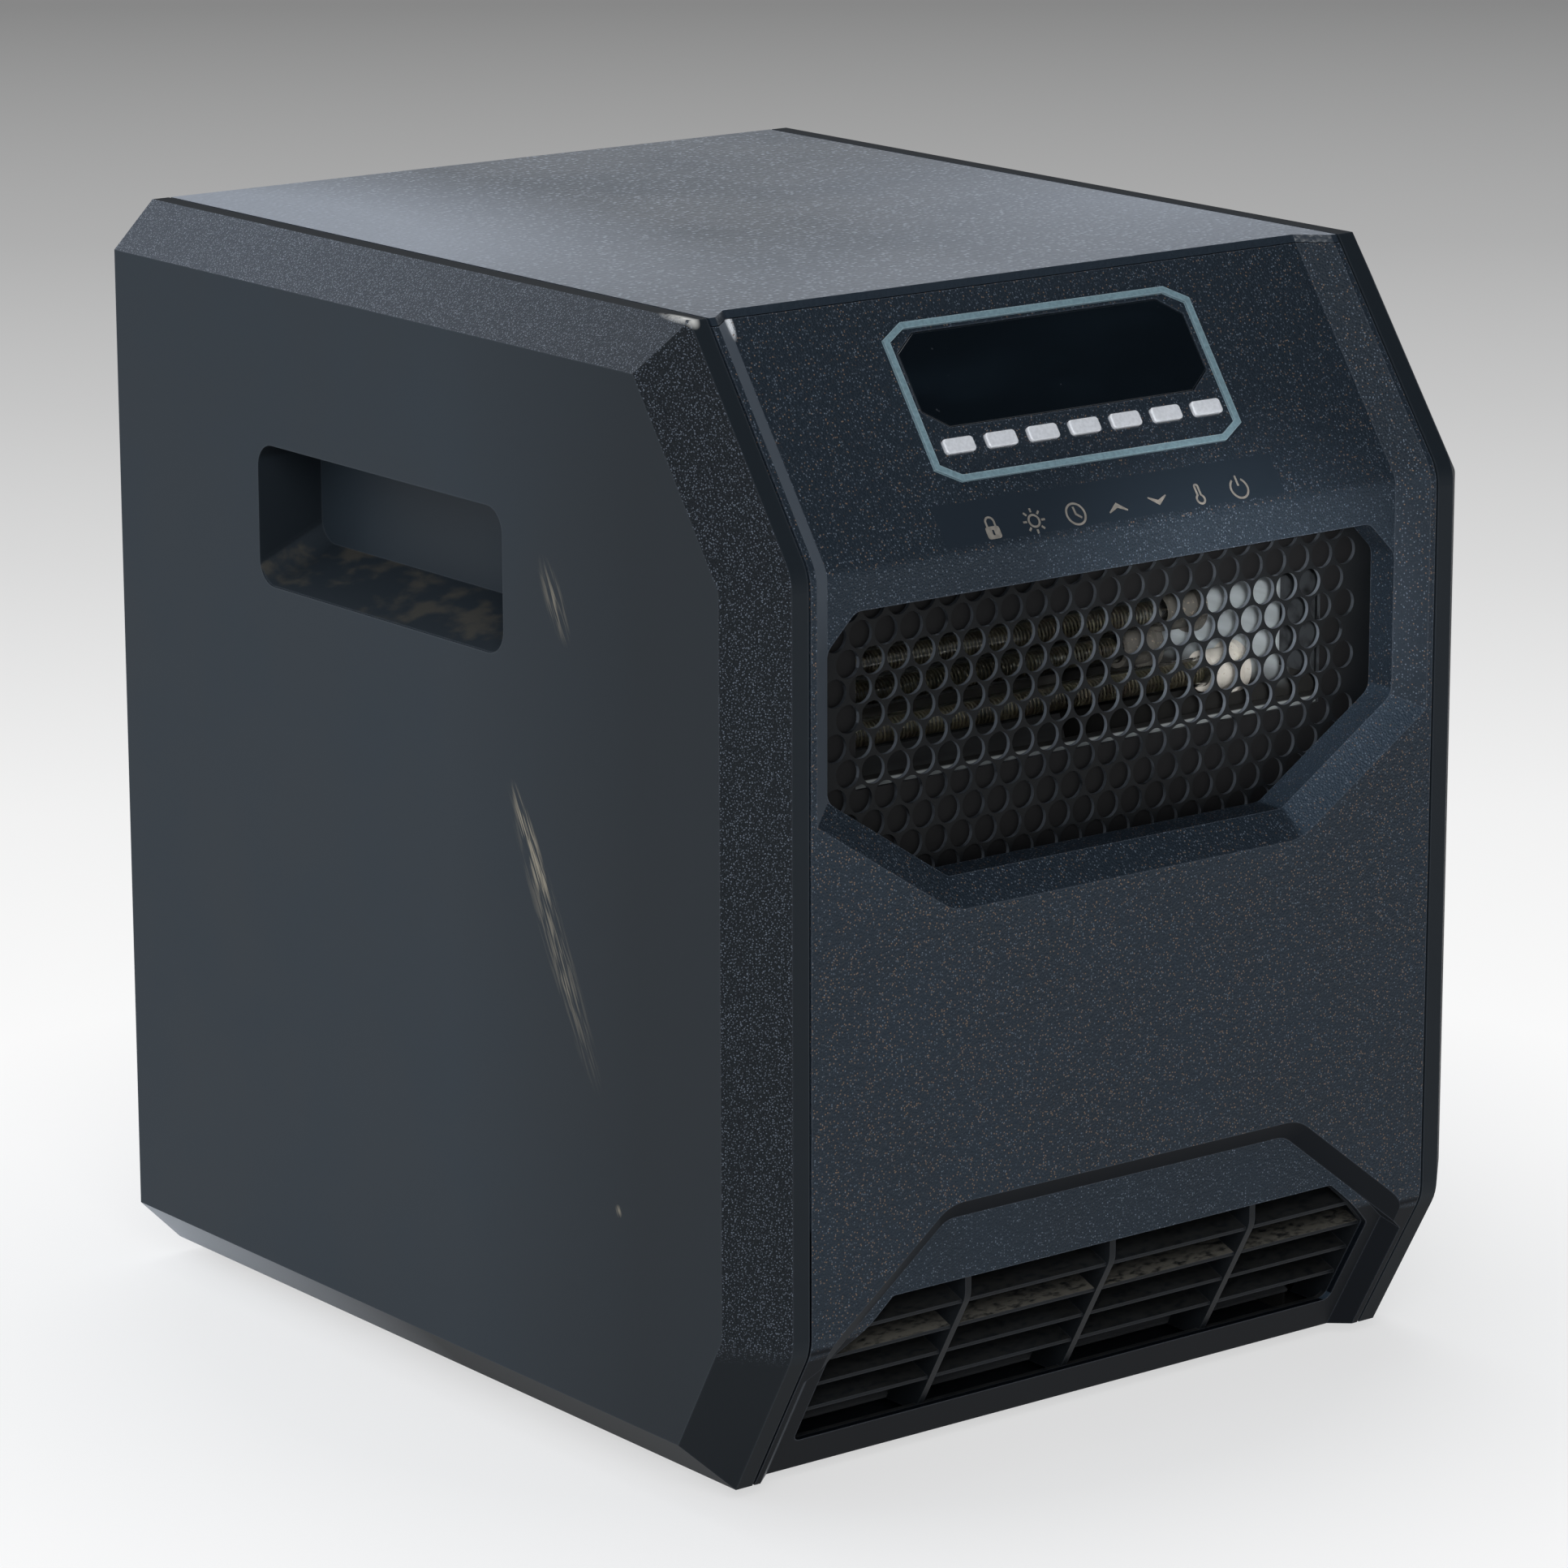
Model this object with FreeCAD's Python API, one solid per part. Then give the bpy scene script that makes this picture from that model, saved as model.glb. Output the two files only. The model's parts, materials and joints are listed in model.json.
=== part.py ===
import FreeCAD, Part
import math
import os

# A quartz cabinet heater. Lengths are in millimetres. While a piece is made, x runs to the
# right from the middle, y runs back from the front flange and z runs up from the underside.
# save() then puts the origin on the floor under the middle of the body.

V = FreeCAD.Vector

# Cabinet
BODY_WIDTH = 328.0
BODY_DEPTH = 384.0
BODY_HEIGHT = 400.0
FOOT_HEIGHT = 6.0
UPPER_BEND_HEIGHT = 323.0
LOWER_BEND_HEIGHT = 56.5
TOP_SETBACK = 54.5
BOTTOM_SETBACK = 32.0
BEND_RADIUS = 18.0
SIDE_BEND_RADIUS = 4.0
EDGE_STRIP = 17.0
FLANGE_WIDTH = 7.0
SHELL_WALL = 2.5
PANEL_WALL = 2.5
SEAM_GAP = 1.0
PANEL_GAP = 0.3
TONGUE_THICKNESS = 1.5
TONGUE_REACH = 5.0
TONGUE_ROOT = 3.0
TONGUE_END_SPACE = 20.0

# Carrying grip sunk into each side
GRIP_LENGTH = 151.5
GRIP_HEIGHT = 51.5
GRIP_FROM_FRONT = 139.0
GRIP_TOP_HEIGHT = 325.5
GRIP_DEPTH = 27.0
GRIP_FLOOR_RISE = 12.0
GRIP_CORNER = 9.0

# Sunk upper area of the front panel, with the grille opening in it
SUNK_BORDER = 2.5
SUNK_BEVEL = 10.0
SUNK_DEPTH = 7.5
SUNK_CORNER = 8.0
GRILLE_TOP_MARGIN = 17.0
GRILLE_HEIGHT = 96.5
GRILLE_KNEE = 33.5
GRILLE_BOTTOM_WIDTH = 150.0
GRILLE_TOP_CUT = 12.0
GRILLE_CORNER = 6.0
RETURN_DEPTH = 12.0
RETURN_WALL = 2.0

# Perforated sheet and the frame that clamps it
SHEET_THICKNESS = 1.5
SHEET_MARGIN = 7.5
HOLE_DIAMETER = 9.8
HOLE_PITCH = 10.85
HOLE_SIDE_MARGIN = 9.0
HOLE_EDGE_OVERLAP = 2.0
HOLE_DROP = 0.65
FRAME_THICKNESS = 1.5
WINDOW_WIDTH = 208.0
WINDOW_HEIGHT = 49.0
WINDOW_DROP = 16.0
FRAME_FLANGE_DEPTH = 38.0
FRAME_FLANGE_SPACE = 4.0
BOSS_DIAMETER = 7.0
BOSS_SPREAD = 105.0
BOSS_UPPER_SPREAD = 70.0
BOSS_BELOW = 6.5
BOSS_ABOVE = 4.5

# Display and buttons, on the sunk upper slope. The ring's shares are of the slope's length,
# and the shares of the lens and the buttons are of the ring's height.
RING_WIDTH = 136.0
RING_SHARE = 0.636
RING_BAND = 2.4
RING_PROUD = 1.2
RING_TOP_SHARE = 0.085
RING_CUT_ACROSS = 9.5
RING_CUT_UP = 5.5
LENS_WIDTH = 127.0
LENS_SHARE = 0.596
LENS_DROP_SHARE = 0.065
LENS_CUT_ACROSS = 9.5
LENS_CUT_UP = 7.0
LENS_THICKNESS = 1.4
LENS_LEDGE = 3.0
LENS_CLEARANCE = 0.15
LENS_EDGE = 0.5
BUTTON_NAMES = ("lock", "light", "timer", "up", "down", "temperature", "power")
BUTTON_WIDTH = 13.0
BUTTON_SHARE = 0.093
BUTTON_PITCH = 18.35
BUTTON_ROW_SHIFT = 1.2
BUTTON_DROP_SHARE = 0.118
BUTTON_PROUD = 1.2
BUTTON_CORNER = 1.4
BUTTON_EDGE = 0.7
BUTTON_CLEARANCE = 0.3
BUTTON_LIP = 1.1
BUTTON_LIP_THICKNESS = 1.0
BUTTON_TRAVEL = 0.8
BUTTON_END_SPACE = 0.2
STEM_WIDTH = 4.0
STEM_LENGTH = 4.0
SWITCH_WIDTH = 6.2
SWITCH_HEIGHT = 4.0
BOARD_THICKNESS = 1.6
BOARD_MARGIN = 2.0
BOARD_WIDTH = 148.0
BOARD_POST = 5.0
BOARD_POST_INSET = 4.5
MODULE_WIDTH = 92.0
MODULE_HEIGHT = 24.0
MODULE_DEPTH = 6.0

# Sunk lower arch and the air outlet in it
ARCH_DEPTH = 5.2
ARCH_BEVEL = 7.0
ARCH_TOP_HEIGHT = 89.5
ARCH_TOP_WIDTH = 154.0
ARCH_ANGLE = 38.0
ARCH_CORNER = 10.0
OUTLET_SIDE_RIM = 6.0
OUTLET_BOTTOM = 12.6
OUTLET_TOP = 67.0
OUTLET_SHOULDER = 47.0
OUTLET_TOP_WIDTH = 200.0
OUTLET_CORNER = 3.0
SLAT_COUNT = 4
SLAT_THICKNESS = 1.2
SLAT_DEPTH = 16.0
SLAT_TILT = 20.0
RIB_COUNT = 3
RIB_SPACING = 65.0
RIB_THICKNESS = 2.6
RIB_DEPTH = 14.0
LOUVRE_FRAME = 2.0
LOUVRE_OVERLAP = 6.5
LOUVRE_RECESS = 0.2

# Chassis plates, heat chamber and ducts
CHASSIS_SPACE = 42.0
METAL = 1.2
METAL_BEND = 2.0
CHASSIS_FRONT = 54.0
CHASSIS_WINDOW_FRONT = 34.0
CHASSIS_BACK = 190.0
CHASSIS_STEP = 20.0
CHASSIS_STEP_DROP = 41.0
CHASSIS_FOOT = 12.0
CHASSIS_FOOT_END = 12.0
ROOF_RISE = 2.0
REFLECTOR_INSET = 4.0
REFLECTOR_DROP = 35.0
REFLECTOR_SLOTS = 8
REFLECTOR_SLOT_WIDTH = 18.0
REFLECTOR_SLOT_HEIGHT = 7.0
REFLECTOR_SLOT_ROWS = 3
LIP_DEPTH = 14.0
DUCT_LOW_DEPTH = 62.0
DUCT_LOW_RISE = 40.0

# Quartz elements
TUBE_DIAMETER = 11.0
TUBE_BORE = 9.0
TUBE_FIRST_DEPTH = 86.0
TUBE_PITCH = 48.0
TUBE_COLUMNS = 2
TUBE_ROW_RISE = 18.0
TUBE_DROP = 1.0
CAP_DIAMETER = 15.0
CAP_FLANGE = 19.0
CAP_FLANGE_THICKNESS = 3.0
CAP_INSIDE = 16.0
CAP_OUTSIDE = 6.0
CAP_SOCKET = 8.0
SEAT_CLEARANCE = 0.1
TERMINAL_DIAMETER = 4.0
TERMINAL_LENGTH = 3.5
LINK_WIDTH = 7.0
LINK_THICKNESS = 1.0
COIL_TURNS = 25
COIL_RADIUS = 3.4
COIL_WIRE = 1.0
COIL_LEAD = 5.0
COIL_RUN_IN = 5.0

# Crossflow blower
WHEEL_FROM_FRONT = 112.0
WHEEL_HEIGHT = 100.0
WHEEL_DIAMETER = 68.0
WHEEL_END_SPACE = 9.0
WHEEL_DISC = 2.0
BLADE_COUNT = 24
BLADE_DEPTH = 8.0
BLADE_THICKNESS = 1.0
BLADE_ANGLE = 32.0
HUB_DIAMETER = 18.0
HUB_LENGTH = 7.0
SHAFT_DIAMETER = 8.0
SHAFT_CLEARANCE = 0.05
SCROLL_GAP = 9.0
SCROLL_GROWTH = 17.0
SCROLL_START = 20.0
SCROLL_SWEEP = 90.0
SCROLL_STEPS = 3
SCROLL_BEND = 20.0
TONGUE_GAP = 5.0
BUSH_DIAMETER = 16.0
BUSH_FLANGE = 22.0
BUSH_FLANGE_THICKNESS = 2.0
BUSH_LENGTH = 8.0
MOTOR_DIAMETER = 54.0
MOTOR_LENGTH = 26.0
MOTOR_FLANGE = 72.0
MOTOR_FLANGE_HEIGHT = 34.0
MOTOR_FLANGE_THICKNESS = 2.5
MOTOR_SCREW_SPREAD = 60.0

# Back panel, intake well, filter cassette, service well
WELL_WALL = 2.0
INTAKE_WIDTH = 210.0
INTAKE_HEIGHT = 170.0
INTAKE_BOTTOM = 160.0
INTAKE_DEPTH = 16.0
INTAKE_SLOT_HEIGHT = 7.0
INTAKE_SLOT_PITCH = 13.0
INTAKE_SLOT_COLUMNS = 2
INTAKE_RIM = 12.0
CASSETTE_CLEARANCE = 0.4
CASSETTE_BORDER = 11.0
CASSETTE_SLAT = 3.0
CASSETTE_SLAT_PITCH = 13.0
CASSETTE_SLAT_DEPTH = 8.0
CASSETTE_MULLION = 5.0
PULL_WIDTH = 46.0
PULL_DEPTH = 5.0
MESH_THICKNESS = 1.5
SERVICE_WIDTH = 110.0
SERVICE_HEIGHT = 44.0
SERVICE_BOTTOM = 40.0
SERVICE_DEPTH = 9.0
SERVICE_OFFSET = 28.0
ROCKER_WIDTH = 9.0
ROCKER_LENGTH = 22.0
ROCKER_WALL = 3.0
ROCKER_BEZEL = 2.0
ROCKER_BODY_DEPTH = 16.0
ROCKER_CLEARANCE = 0.6
ROCKER_PIN = 2.4
ROCKER_PIN_CLEARANCE = 0.06
ROCKER_THROW = 16.0
GLAND_DIAMETER = 24.0
GLAND_NECK = 15.0
GLAND_BORE = 8.4
GLAND_FLANGE = 3.0
GLAND_LENGTH = 12.0

# Fasteners and feet
SCREW_DIAMETER = 3.0
SCREW_HEAD = 6.0
SCREW_HEAD_HEIGHT = 1.6
SCREW_CLEARANCE = 0.2
SCREWS_PER_SIDE = 4
SCREW_END_SPACE = 40.0
FOOT_DIAMETER = 26.0
FOOT_TAPER = 2.0
FOOT_SPREAD_X = 220.0
FOOT_SPREAD_Y = 234.0
FOOT_RECESS = 9.0
FOOT_RECESS_DEPTH = 3.0

# Electrics
POWER_BOARD_WIDTH = 100.0
POWER_BOARD_DEPTH = 74.0
POWER_BOARD_BACK = 60.0
POWER_BOARD_SIDE = 28.0
STANDOFF_HEIGHT = 8.0
STANDOFF_DIAMETER = 7.0
STANDOFF_INSET = 6.0
RELAY_COUNT = 3
RELAY_LENGTH = 19.0
RELAY_WIDTH = 15.5
RELAY_HEIGHT = 15.0
RELAY_PITCH = 21.0
CAPACITOR_DIAMETER = 16.0
CAPACITOR_HEIGHT = 25.0
TERMINAL_BLOCK_WIDTH = 40.0
TERMINAL_BLOCK_DEPTH = 13.0
TERMINAL_BLOCK_HEIGHT = 16.0
TERMINAL_BLOCK_WAYS = 4
THERMOSTAT_DIAMETER = 16.0
THERMOSTAT_HEIGHT = 9.0
THERMOSTAT_PLATE_LENGTH = 34.0
THERMOSTAT_PLATE_WIDTH = 10.0
FUSE_DIAMETER = 7.0
FUSE_LENGTH = 22.0
TIP_SWITCH_WIDTH = 24.0
TIP_SWITCH_DEPTH = 18.0
TIP_SWITCH_HEIGHT = 26.0
TIP_SWITCH_SIDE = 70.0
SENSOR_DIAMETER = 5.0
SENSOR_LENGTH = 14.0

# Values worked out from those above
SIDE_X = BODY_WIDTH / 2
FLANGE_X = SIDE_X - EDGE_STRIP
SEAM_X = FLANGE_X - FLANGE_WIDTH
PANEL_X = SEAM_X - SEAM_GAP
TONGUE_X = SEAM_X + TONGUE_REACH
TOP_Z = BODY_HEIGHT - PANEL_WALL
BACK_Y = BODY_DEPTH - PANEL_WALL
SUNK_X = PANEL_X - SUNK_BORDER
GRILLE_X = SUNK_X - SUNK_BEVEL
GRILLE_TOP = UPPER_BEND_HEIGHT - GRILLE_TOP_MARGIN
GRILLE_BOTTOM = GRILLE_TOP - GRILLE_HEIGHT
SHEET_Y = SUNK_DEPTH + RETURN_DEPTH
FRAME_Y = SHEET_Y + SHEET_THICKNESS
FRAME_BACK_Y = FRAME_Y + FRAME_THICKNESS
WINDOW_TOP = GRILLE_TOP - WINDOW_DROP
WINDOW_BOTTOM = WINDOW_TOP - WINDOW_HEIGHT
SHEET_BOTTOM = GRILLE_BOTTOM - SHEET_MARGIN - BOSS_DIAMETER
SHEET_TOP = GRILLE_TOP + SHEET_MARGIN + 1.0
BOSS_LOW_Z = GRILLE_BOTTOM - BOSS_BELOW
BOSS_HIGH_Z = GRILLE_TOP + BOSS_ABOVE
SLOPE_RISE = BODY_HEIGHT - UPPER_BEND_HEIGHT
SLOPE_LENGTH = math.hypot(TOP_SETBACK, SLOPE_RISE)
SLOPE_LEAN = math.atan2(TOP_SETBACK, SLOPE_RISE)
RING_HEIGHT = SLOPE_LENGTH * RING_SHARE
RING_TOP = SLOPE_LENGTH * (1 - RING_TOP_SHARE)
RING_MIDDLE = RING_TOP - RING_HEIGHT / 2
LENS_HEIGHT = RING_HEIGHT * LENS_SHARE
LENS_TOP = RING_TOP - RING_HEIGHT * LENS_DROP_SHARE
LENS_MIDDLE = LENS_TOP - LENS_HEIGHT / 2
BUTTON_HEIGHT = RING_HEIGHT * BUTTON_SHARE
BUTTON_ROW = LENS_TOP - LENS_HEIGHT - RING_HEIGHT * BUTTON_DROP_SHARE
PANEL_FACE = -SUNK_DEPTH
PANEL_BACK = PANEL_FACE - PANEL_WALL
STEM_END = PANEL_BACK - BUTTON_LIP_THICKNESS - STEM_LENGTH
SWITCH_TOP = STEM_END - BUTTON_TRAVEL - BUTTON_END_SPACE
BOARD_FACE = SWITCH_TOP - SWITCH_HEIGHT
ARCH_X = SUNK_X - ARCH_BEVEL
OUTLET_X = ARCH_X - OUTLET_SIDE_RIM
LOUVRE_FACE = ARCH_DEPTH + PANEL_WALL
CHASSIS_X = SIDE_X - CHASSIS_SPACE
ROOF_Z = WINDOW_TOP + ROOF_RISE
REFLECTOR_Y = CHASSIS_BACK - REFLECTOR_INSET
REFLECTOR_BOTTOM = WINDOW_BOTTOM - REFLECTOR_DROP
TUBE_Z = WINDOW_BOTTOM - TUBE_DROP
TUBE_END_X = CHASSIS_X - CAP_INSIDE + CAP_SOCKET
CAP_END_X = CHASSIS_X + METAL + CAP_OUTSIDE
WHEEL_RADIUS = WHEEL_DIAMETER / 2
INTAKE_TOP = INTAKE_BOTTOM + INTAKE_HEIGHT
INTAKE_FLOOR_Y = BODY_DEPTH - INTAKE_DEPTH
SERVICE_FLOOR_Y = BODY_DEPTH - SERVICE_DEPTH
SERVICE_MIDDLE = SERVICE_BOTTOM + SERVICE_HEIGHT / 2
POWER_BOARD_Z = PANEL_WALL + STANDOFF_HEIGHT
POWER_BOARD_X = -PANEL_X + POWER_BOARD_SIDE
POWER_BOARD_Y = BODY_DEPTH - POWER_BOARD_BACK - POWER_BOARD_DEPTH
FAR = 2 * BODY_HEIGHT


# Outlines

def on_x(x):
    """Puts a side outline (y, z) at one x."""
    return lambda y, z: V(x, y, z)


def on_y(y):
    """Puts a front outline (x, z) at one y."""
    return lambda x, z: V(x, y, z)


def on_z(z):
    """Puts a top outline (x, y) at one z."""
    return lambda x, y: V(x, y, z)


def crossing(a, b, c, d):
    """Where the line through a and b meets the line through c and d."""
    ab = (b[0] - a[0], b[1] - a[1])
    cd = (d[0] - c[0], d[1] - c[1])
    share = ((c[0] - a[0]) * cd[1] - (c[1] - a[1]) * cd[0]) / (ab[0] * cd[1] - ab[1] * cd[0])
    return (a[0] + share * ab[0], a[1] + share * ab[1])


def shifted(a, b, distance):
    """The segment from a to b moved to its left by a distance."""
    length = math.hypot(b[0] - a[0], b[1] - a[1])
    across = (-(b[1] - a[1]) / length * distance, (b[0] - a[0]) / length * distance)
    return ((a[0] + across[0], a[1] + across[1]), (b[0] + across[0], b[1] + across[1]))


def inset(points, distances):
    """A counter-clockwise polygon with each edge moved inwards by its own distance."""
    count = len(points)
    lines = [shifted(points[i], points[(i + 1) % count], distances[i]) for i in range(count)]
    return [crossing(*lines[i - 1], *lines[i]) for i in range(count)]


def inset_path(points, distance):
    """An open path moved to its left by a distance."""
    lines = [shifted(a, b, distance) for a, b in zip(points, points[1:])]
    inner = [crossing(*first, *second) for first, second in zip(lines, lines[1:])]
    return [lines[0][0]] + inner + [lines[-1][1]]


def rounded(before, corner, after, radius):
    """Start, middle and end of the arc that rounds a corner."""
    if radius <= 0:
        return corner, None, corner
    back = (before[0] - corner[0], before[1] - corner[1])
    ahead = (after[0] - corner[0], after[1] - corner[1])
    back_length = math.hypot(*back)
    ahead_length = math.hypot(*ahead)
    u = (back[0] / back_length, back[1] / back_length)
    w = (ahead[0] / ahead_length, ahead[1] / ahead_length)
    half = math.acos(u[0] * w[0] + u[1] * w[1]) / 2
    trim = radius / math.tan(half)
    reach = radius / math.sin(half) - radius
    middle = ((u[0] + w[0]) / 2 / math.cos(half), (u[1] + w[1]) / 2 / math.cos(half))
    start = (corner[0] + u[0] * trim, corner[1] + u[1] * trim)
    end = (corner[0] + w[0] * trim, corner[1] + w[1] * trim)
    return start, (corner[0] + middle[0] * reach, corner[1] + middle[1] * reach), end


def outline(points, radii, place):
    """Closed wire through corner points, each corner rounded to its own radius."""
    count = len(points)
    corners = [rounded(points[i - 1], points[i], points[(i + 1) % count], radii[i]) for i in range(count)]
    edges = []
    for i, (start, middle, end) in enumerate(corners):
        if middle is not None:
            edges.append(Part.Arc(place(*start), place(*middle), place(*end)).toShape())
        edges.append(Part.makeLine(place(*end), place(*corners[(i + 1) % count][0])))
    return Part.Wire(edges)


def prism(points, radii, place, along):
    """Solid of a rounded outline carried along a vector."""
    return Part.Face(outline(points, radii, place)).extrude(along)


def plain(points):
    """Radii of an outline with sharp corners."""
    return [0] * len(points)


def rectangle(across, up, middle=(0, 0)):
    """Corner points of a rectangle about its middle, counter-clockwise."""
    x, z = middle
    return [(x - across / 2, z - up / 2), (x + across / 2, z - up / 2),
            (x + across / 2, z + up / 2), (x - across / 2, z + up / 2)]


def cut_rectangle(across, up, cut_across, cut_up, middle):
    """Corner points of a rectangle whose four corners are cut off."""
    x, z = middle
    a = across / 2
    b = up / 2
    return [(x - a + cut_across, z - b), (x + a - cut_across, z - b), (x + a, z - b + cut_up),
            (x + a, z + b - cut_up), (x + a - cut_across, z + b), (x - a + cut_across, z + b),
            (x - a, z + b - cut_up), (x - a, z - b + cut_up)]


def block(low, high):
    """Box between two corners."""
    return Part.makeBox(high[0] - low[0], high[1] - low[1], high[2] - low[2], V(*low))


def rod(diameter, start, end):
    """Cylinder between two points."""
    way = V(*end) - V(*start)
    return Part.makeCylinder(diameter / 2, way.Length, V(*start), way)


def both_sides(shape):
    """A shape on the right and its mirror image on the left."""
    return [shape, shape.mirror(V(0, 0, 0), V(1, 0, 0))]


def bent_sheet(points, thickness, bend, half_width):
    """Sheet metal that follows a path (y, z), with its thickness to the left of the path."""
    left = inset_path(points, thickness)
    near = [0]
    far = [0]
    for a, b, c in zip(points, points[1:], points[2:]):
        turn = (b[0] - a[0]) * (c[1] - b[1]) - (b[1] - a[1]) * (c[0] - b[0])
        near.append(bend + thickness if turn > 0 else bend)
        far.append(bend if turn > 0 else bend + thickness)
    radii = near + [0, 0] + far[:0:-1] + [0]
    return prism(points + left[::-1], radii, on_x(-half_width), V(2 * half_width, 0, 0))


def save(name, *shapes):
    """Writes one node, moved so that the origin is on the floor under the middle of the body."""
    solids = [solid for shape in shapes for solid in shape.Solids]
    node = Part.makeCompound(solids) if len(solids) > 1 else solids[0]
    node = node.copy()
    node.translate(V(0, -BODY_DEPTH / 2, FOOT_HEIGHT))
    node.exportStep("parts/" + name + ".step")


# The cabinet's side outline and the space in front of it

def side_outline(x, front, top, bottom, back, radius):
    """Side outline of the cabinet at one x, each edge moved inwards."""
    points = [(BODY_DEPTH, 0), (BODY_DEPTH, BODY_HEIGHT), (TOP_SETBACK, BODY_HEIGHT),
              (0, UPPER_BEND_HEIGHT), (0, LOWER_BEND_HEIGHT), (BOTTOM_SETBACK, 0)]
    corners = inset(points, [back, top, front, front, front, bottom])
    return outline(corners, [0, 0, 0, radius, radius, 0], on_x(x))


def front_path(depth):
    """The front's path (y, z) at a depth, from above the top down to below the bottom."""
    above = SLOPE_RISE / TOP_SETBACK
    below = LOWER_BEND_HEIGHT / BOTTOM_SETBACK
    points = [(2 * TOP_SETBACK, UPPER_BEND_HEIGHT + 2 * TOP_SETBACK * above), (0, UPPER_BEND_HEIGHT),
              (0, LOWER_BEND_HEIGHT), (2 * BOTTOM_SETBACK, LOWER_BEND_HEIGHT - 2 * BOTTOM_SETBACK * below)]
    return inset_path(points, depth)


def front_space_outline(x, depth):
    """Outline of everything in front of the front's path at a depth, at one x."""
    path = front_path(depth)
    bend = max(BEND_RADIUS - depth, SIDE_BEND_RADIUS)
    corners = [(-FAR, path[0][1])] + [(-FAR, path[3][1])] + path[::-1]
    return outline(corners, [0, 0, 0, bend, bend, 0], on_x(x))


def front_space(depth, half_width):
    """Solid of everything in front of the front's path at a depth."""
    return Part.Face(front_space_outline(-half_width, depth)).extrude(V(2 * half_width, 0, 0))


def front_layer(near, far, half_width):
    """Layer between two depths behind the front, within the cabinet's height."""
    layer = front_space(far, half_width).cut(front_space(near, half_width))
    return layer.common(block((-half_width, -1, 0), (half_width, BODY_DEPTH, TOP_Z - PANEL_GAP)))


def front_y(z, depth):
    """The y of the front's path at a height and a depth."""
    path = front_path(depth)
    for (y1, z1), (y2, z2) in zip(path, path[1:]):
        if z2 <= z <= z1:
            return y1 + (y2 - y1) * (z - z1) / (z2 - z1)


def sunk_trough(skin_depth, sunk_depth, outer_x, inner_x):
    """Space in front of a sunk strip that runs the whole height, with sloped sides."""
    wires = [front_space_outline(x, depth) for x, depth in
             ((-outer_x, skin_depth), (-inner_x, sunk_depth), (inner_x, sunk_depth), (outer_x, skin_depth))]
    return Part.makeLoft(wires, True, True)


def bevelled_prism(corners_at, bevel, near, far):
    """Solid through the front whose outline shrinks by the bevel from near to far, then stays."""
    rise = far - near
    loft = Part.makeLoft([outline(*corners_at(2 * bevel), on_y(near - rise)),
                          outline(*corners_at(0), on_y(far))], True, True)
    return loft.fuse(prism(*corners_at(0), on_y(far), V(0, BODY_DEPTH, 0)))


def grille_points():
    """Corner points (x, z) of the grille opening, counter-clockwise from the bottom left."""
    low = GRILLE_BOTTOM_WIDTH / 2
    return [(-low, GRILLE_BOTTOM), (low, GRILLE_BOTTOM), (GRILLE_X, GRILLE_BOTTOM + GRILLE_KNEE),
            (GRILLE_X, GRILLE_TOP - GRILLE_TOP_CUT), (GRILLE_X - GRILLE_TOP_CUT, GRILLE_TOP),
            (GRILLE_TOP_CUT - GRILLE_X, GRILLE_TOP), (-GRILLE_X, GRILLE_TOP - GRILLE_TOP_CUT),
            (-GRILLE_X, GRILLE_BOTTOM + GRILLE_KNEE)]


def sunk_lower_edge(spread):
    """Outline open far upwards whose lower edges lie outside the grille opening by a spread."""
    low = GRILLE_BOTTOM_WIDTH / 2
    slope = GRILLE_KNEE / (GRILLE_X - low)
    side_z = GRILLE_BOTTOM + (FAR - low) * slope
    points = [(-low, GRILLE_BOTTOM), (low, GRILLE_BOTTOM), (FAR, side_z),
              (FAR, 3 * FAR), (-FAR, 3 * FAR), (-FAR, side_z)]
    corners = inset(points, [-spread, -spread, 0, 0, 0, -spread])
    radius = SUNK_CORNER + spread
    return corners, [radius, radius, 0, 0, 0, 0]


def arch_edge(spread):
    """Outline open far downwards whose upper edges lie outside the arch's floor by a spread."""
    high = ARCH_TOP_WIDTH / 2
    side_z = ARCH_TOP_HEIGHT - (FAR - high) * math.tan(math.radians(ARCH_ANGLE))
    points = [(high, ARCH_TOP_HEIGHT), (-high, ARCH_TOP_HEIGHT), (-FAR, side_z),
              (-FAR, -3 * FAR), (FAR, -3 * FAR), (FAR, side_z)]
    corners = inset(points, [-spread, -spread, 0, 0, 0, -spread])
    radius = ARCH_CORNER + spread
    return corners, [radius, radius, 0, 0, 0, 0]


def bevel_growth(bevel, depth):
    """How far a bevel's edges move sideways when its wall gets the panel's thickness."""
    return PANEL_WALL * math.tan(math.atan2(depth, bevel) / 2)


def upper_hollow(wall):
    """Space of the sunk upper area, or with a wall, that space grown by it."""
    grow = bevel_growth(SUNK_BEVEL, SUNK_DEPTH) if wall else 0
    trough = sunk_trough(wall, SUNK_DEPTH + wall, SUNK_X + grow, GRILLE_X + grow)
    edge = bevelled_prism(lambda spread: sunk_lower_edge(spread + grow), SUNK_BEVEL, wall, SUNK_DEPTH + wall)
    return trough.common(edge)


def lower_hollow(wall):
    """Space of the sunk arch, or with a wall, that space grown by it."""
    grow = bevel_growth(ARCH_BEVEL, ARCH_DEPTH) if wall else 0
    trough = sunk_trough(wall, ARCH_DEPTH + wall, SUNK_X + grow, ARCH_X + grow)
    edge = bevelled_prism(lambda spread: arch_edge(spread + grow), ARCH_BEVEL, wall, ARCH_DEPTH + wall)
    return trough.common(edge)


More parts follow.
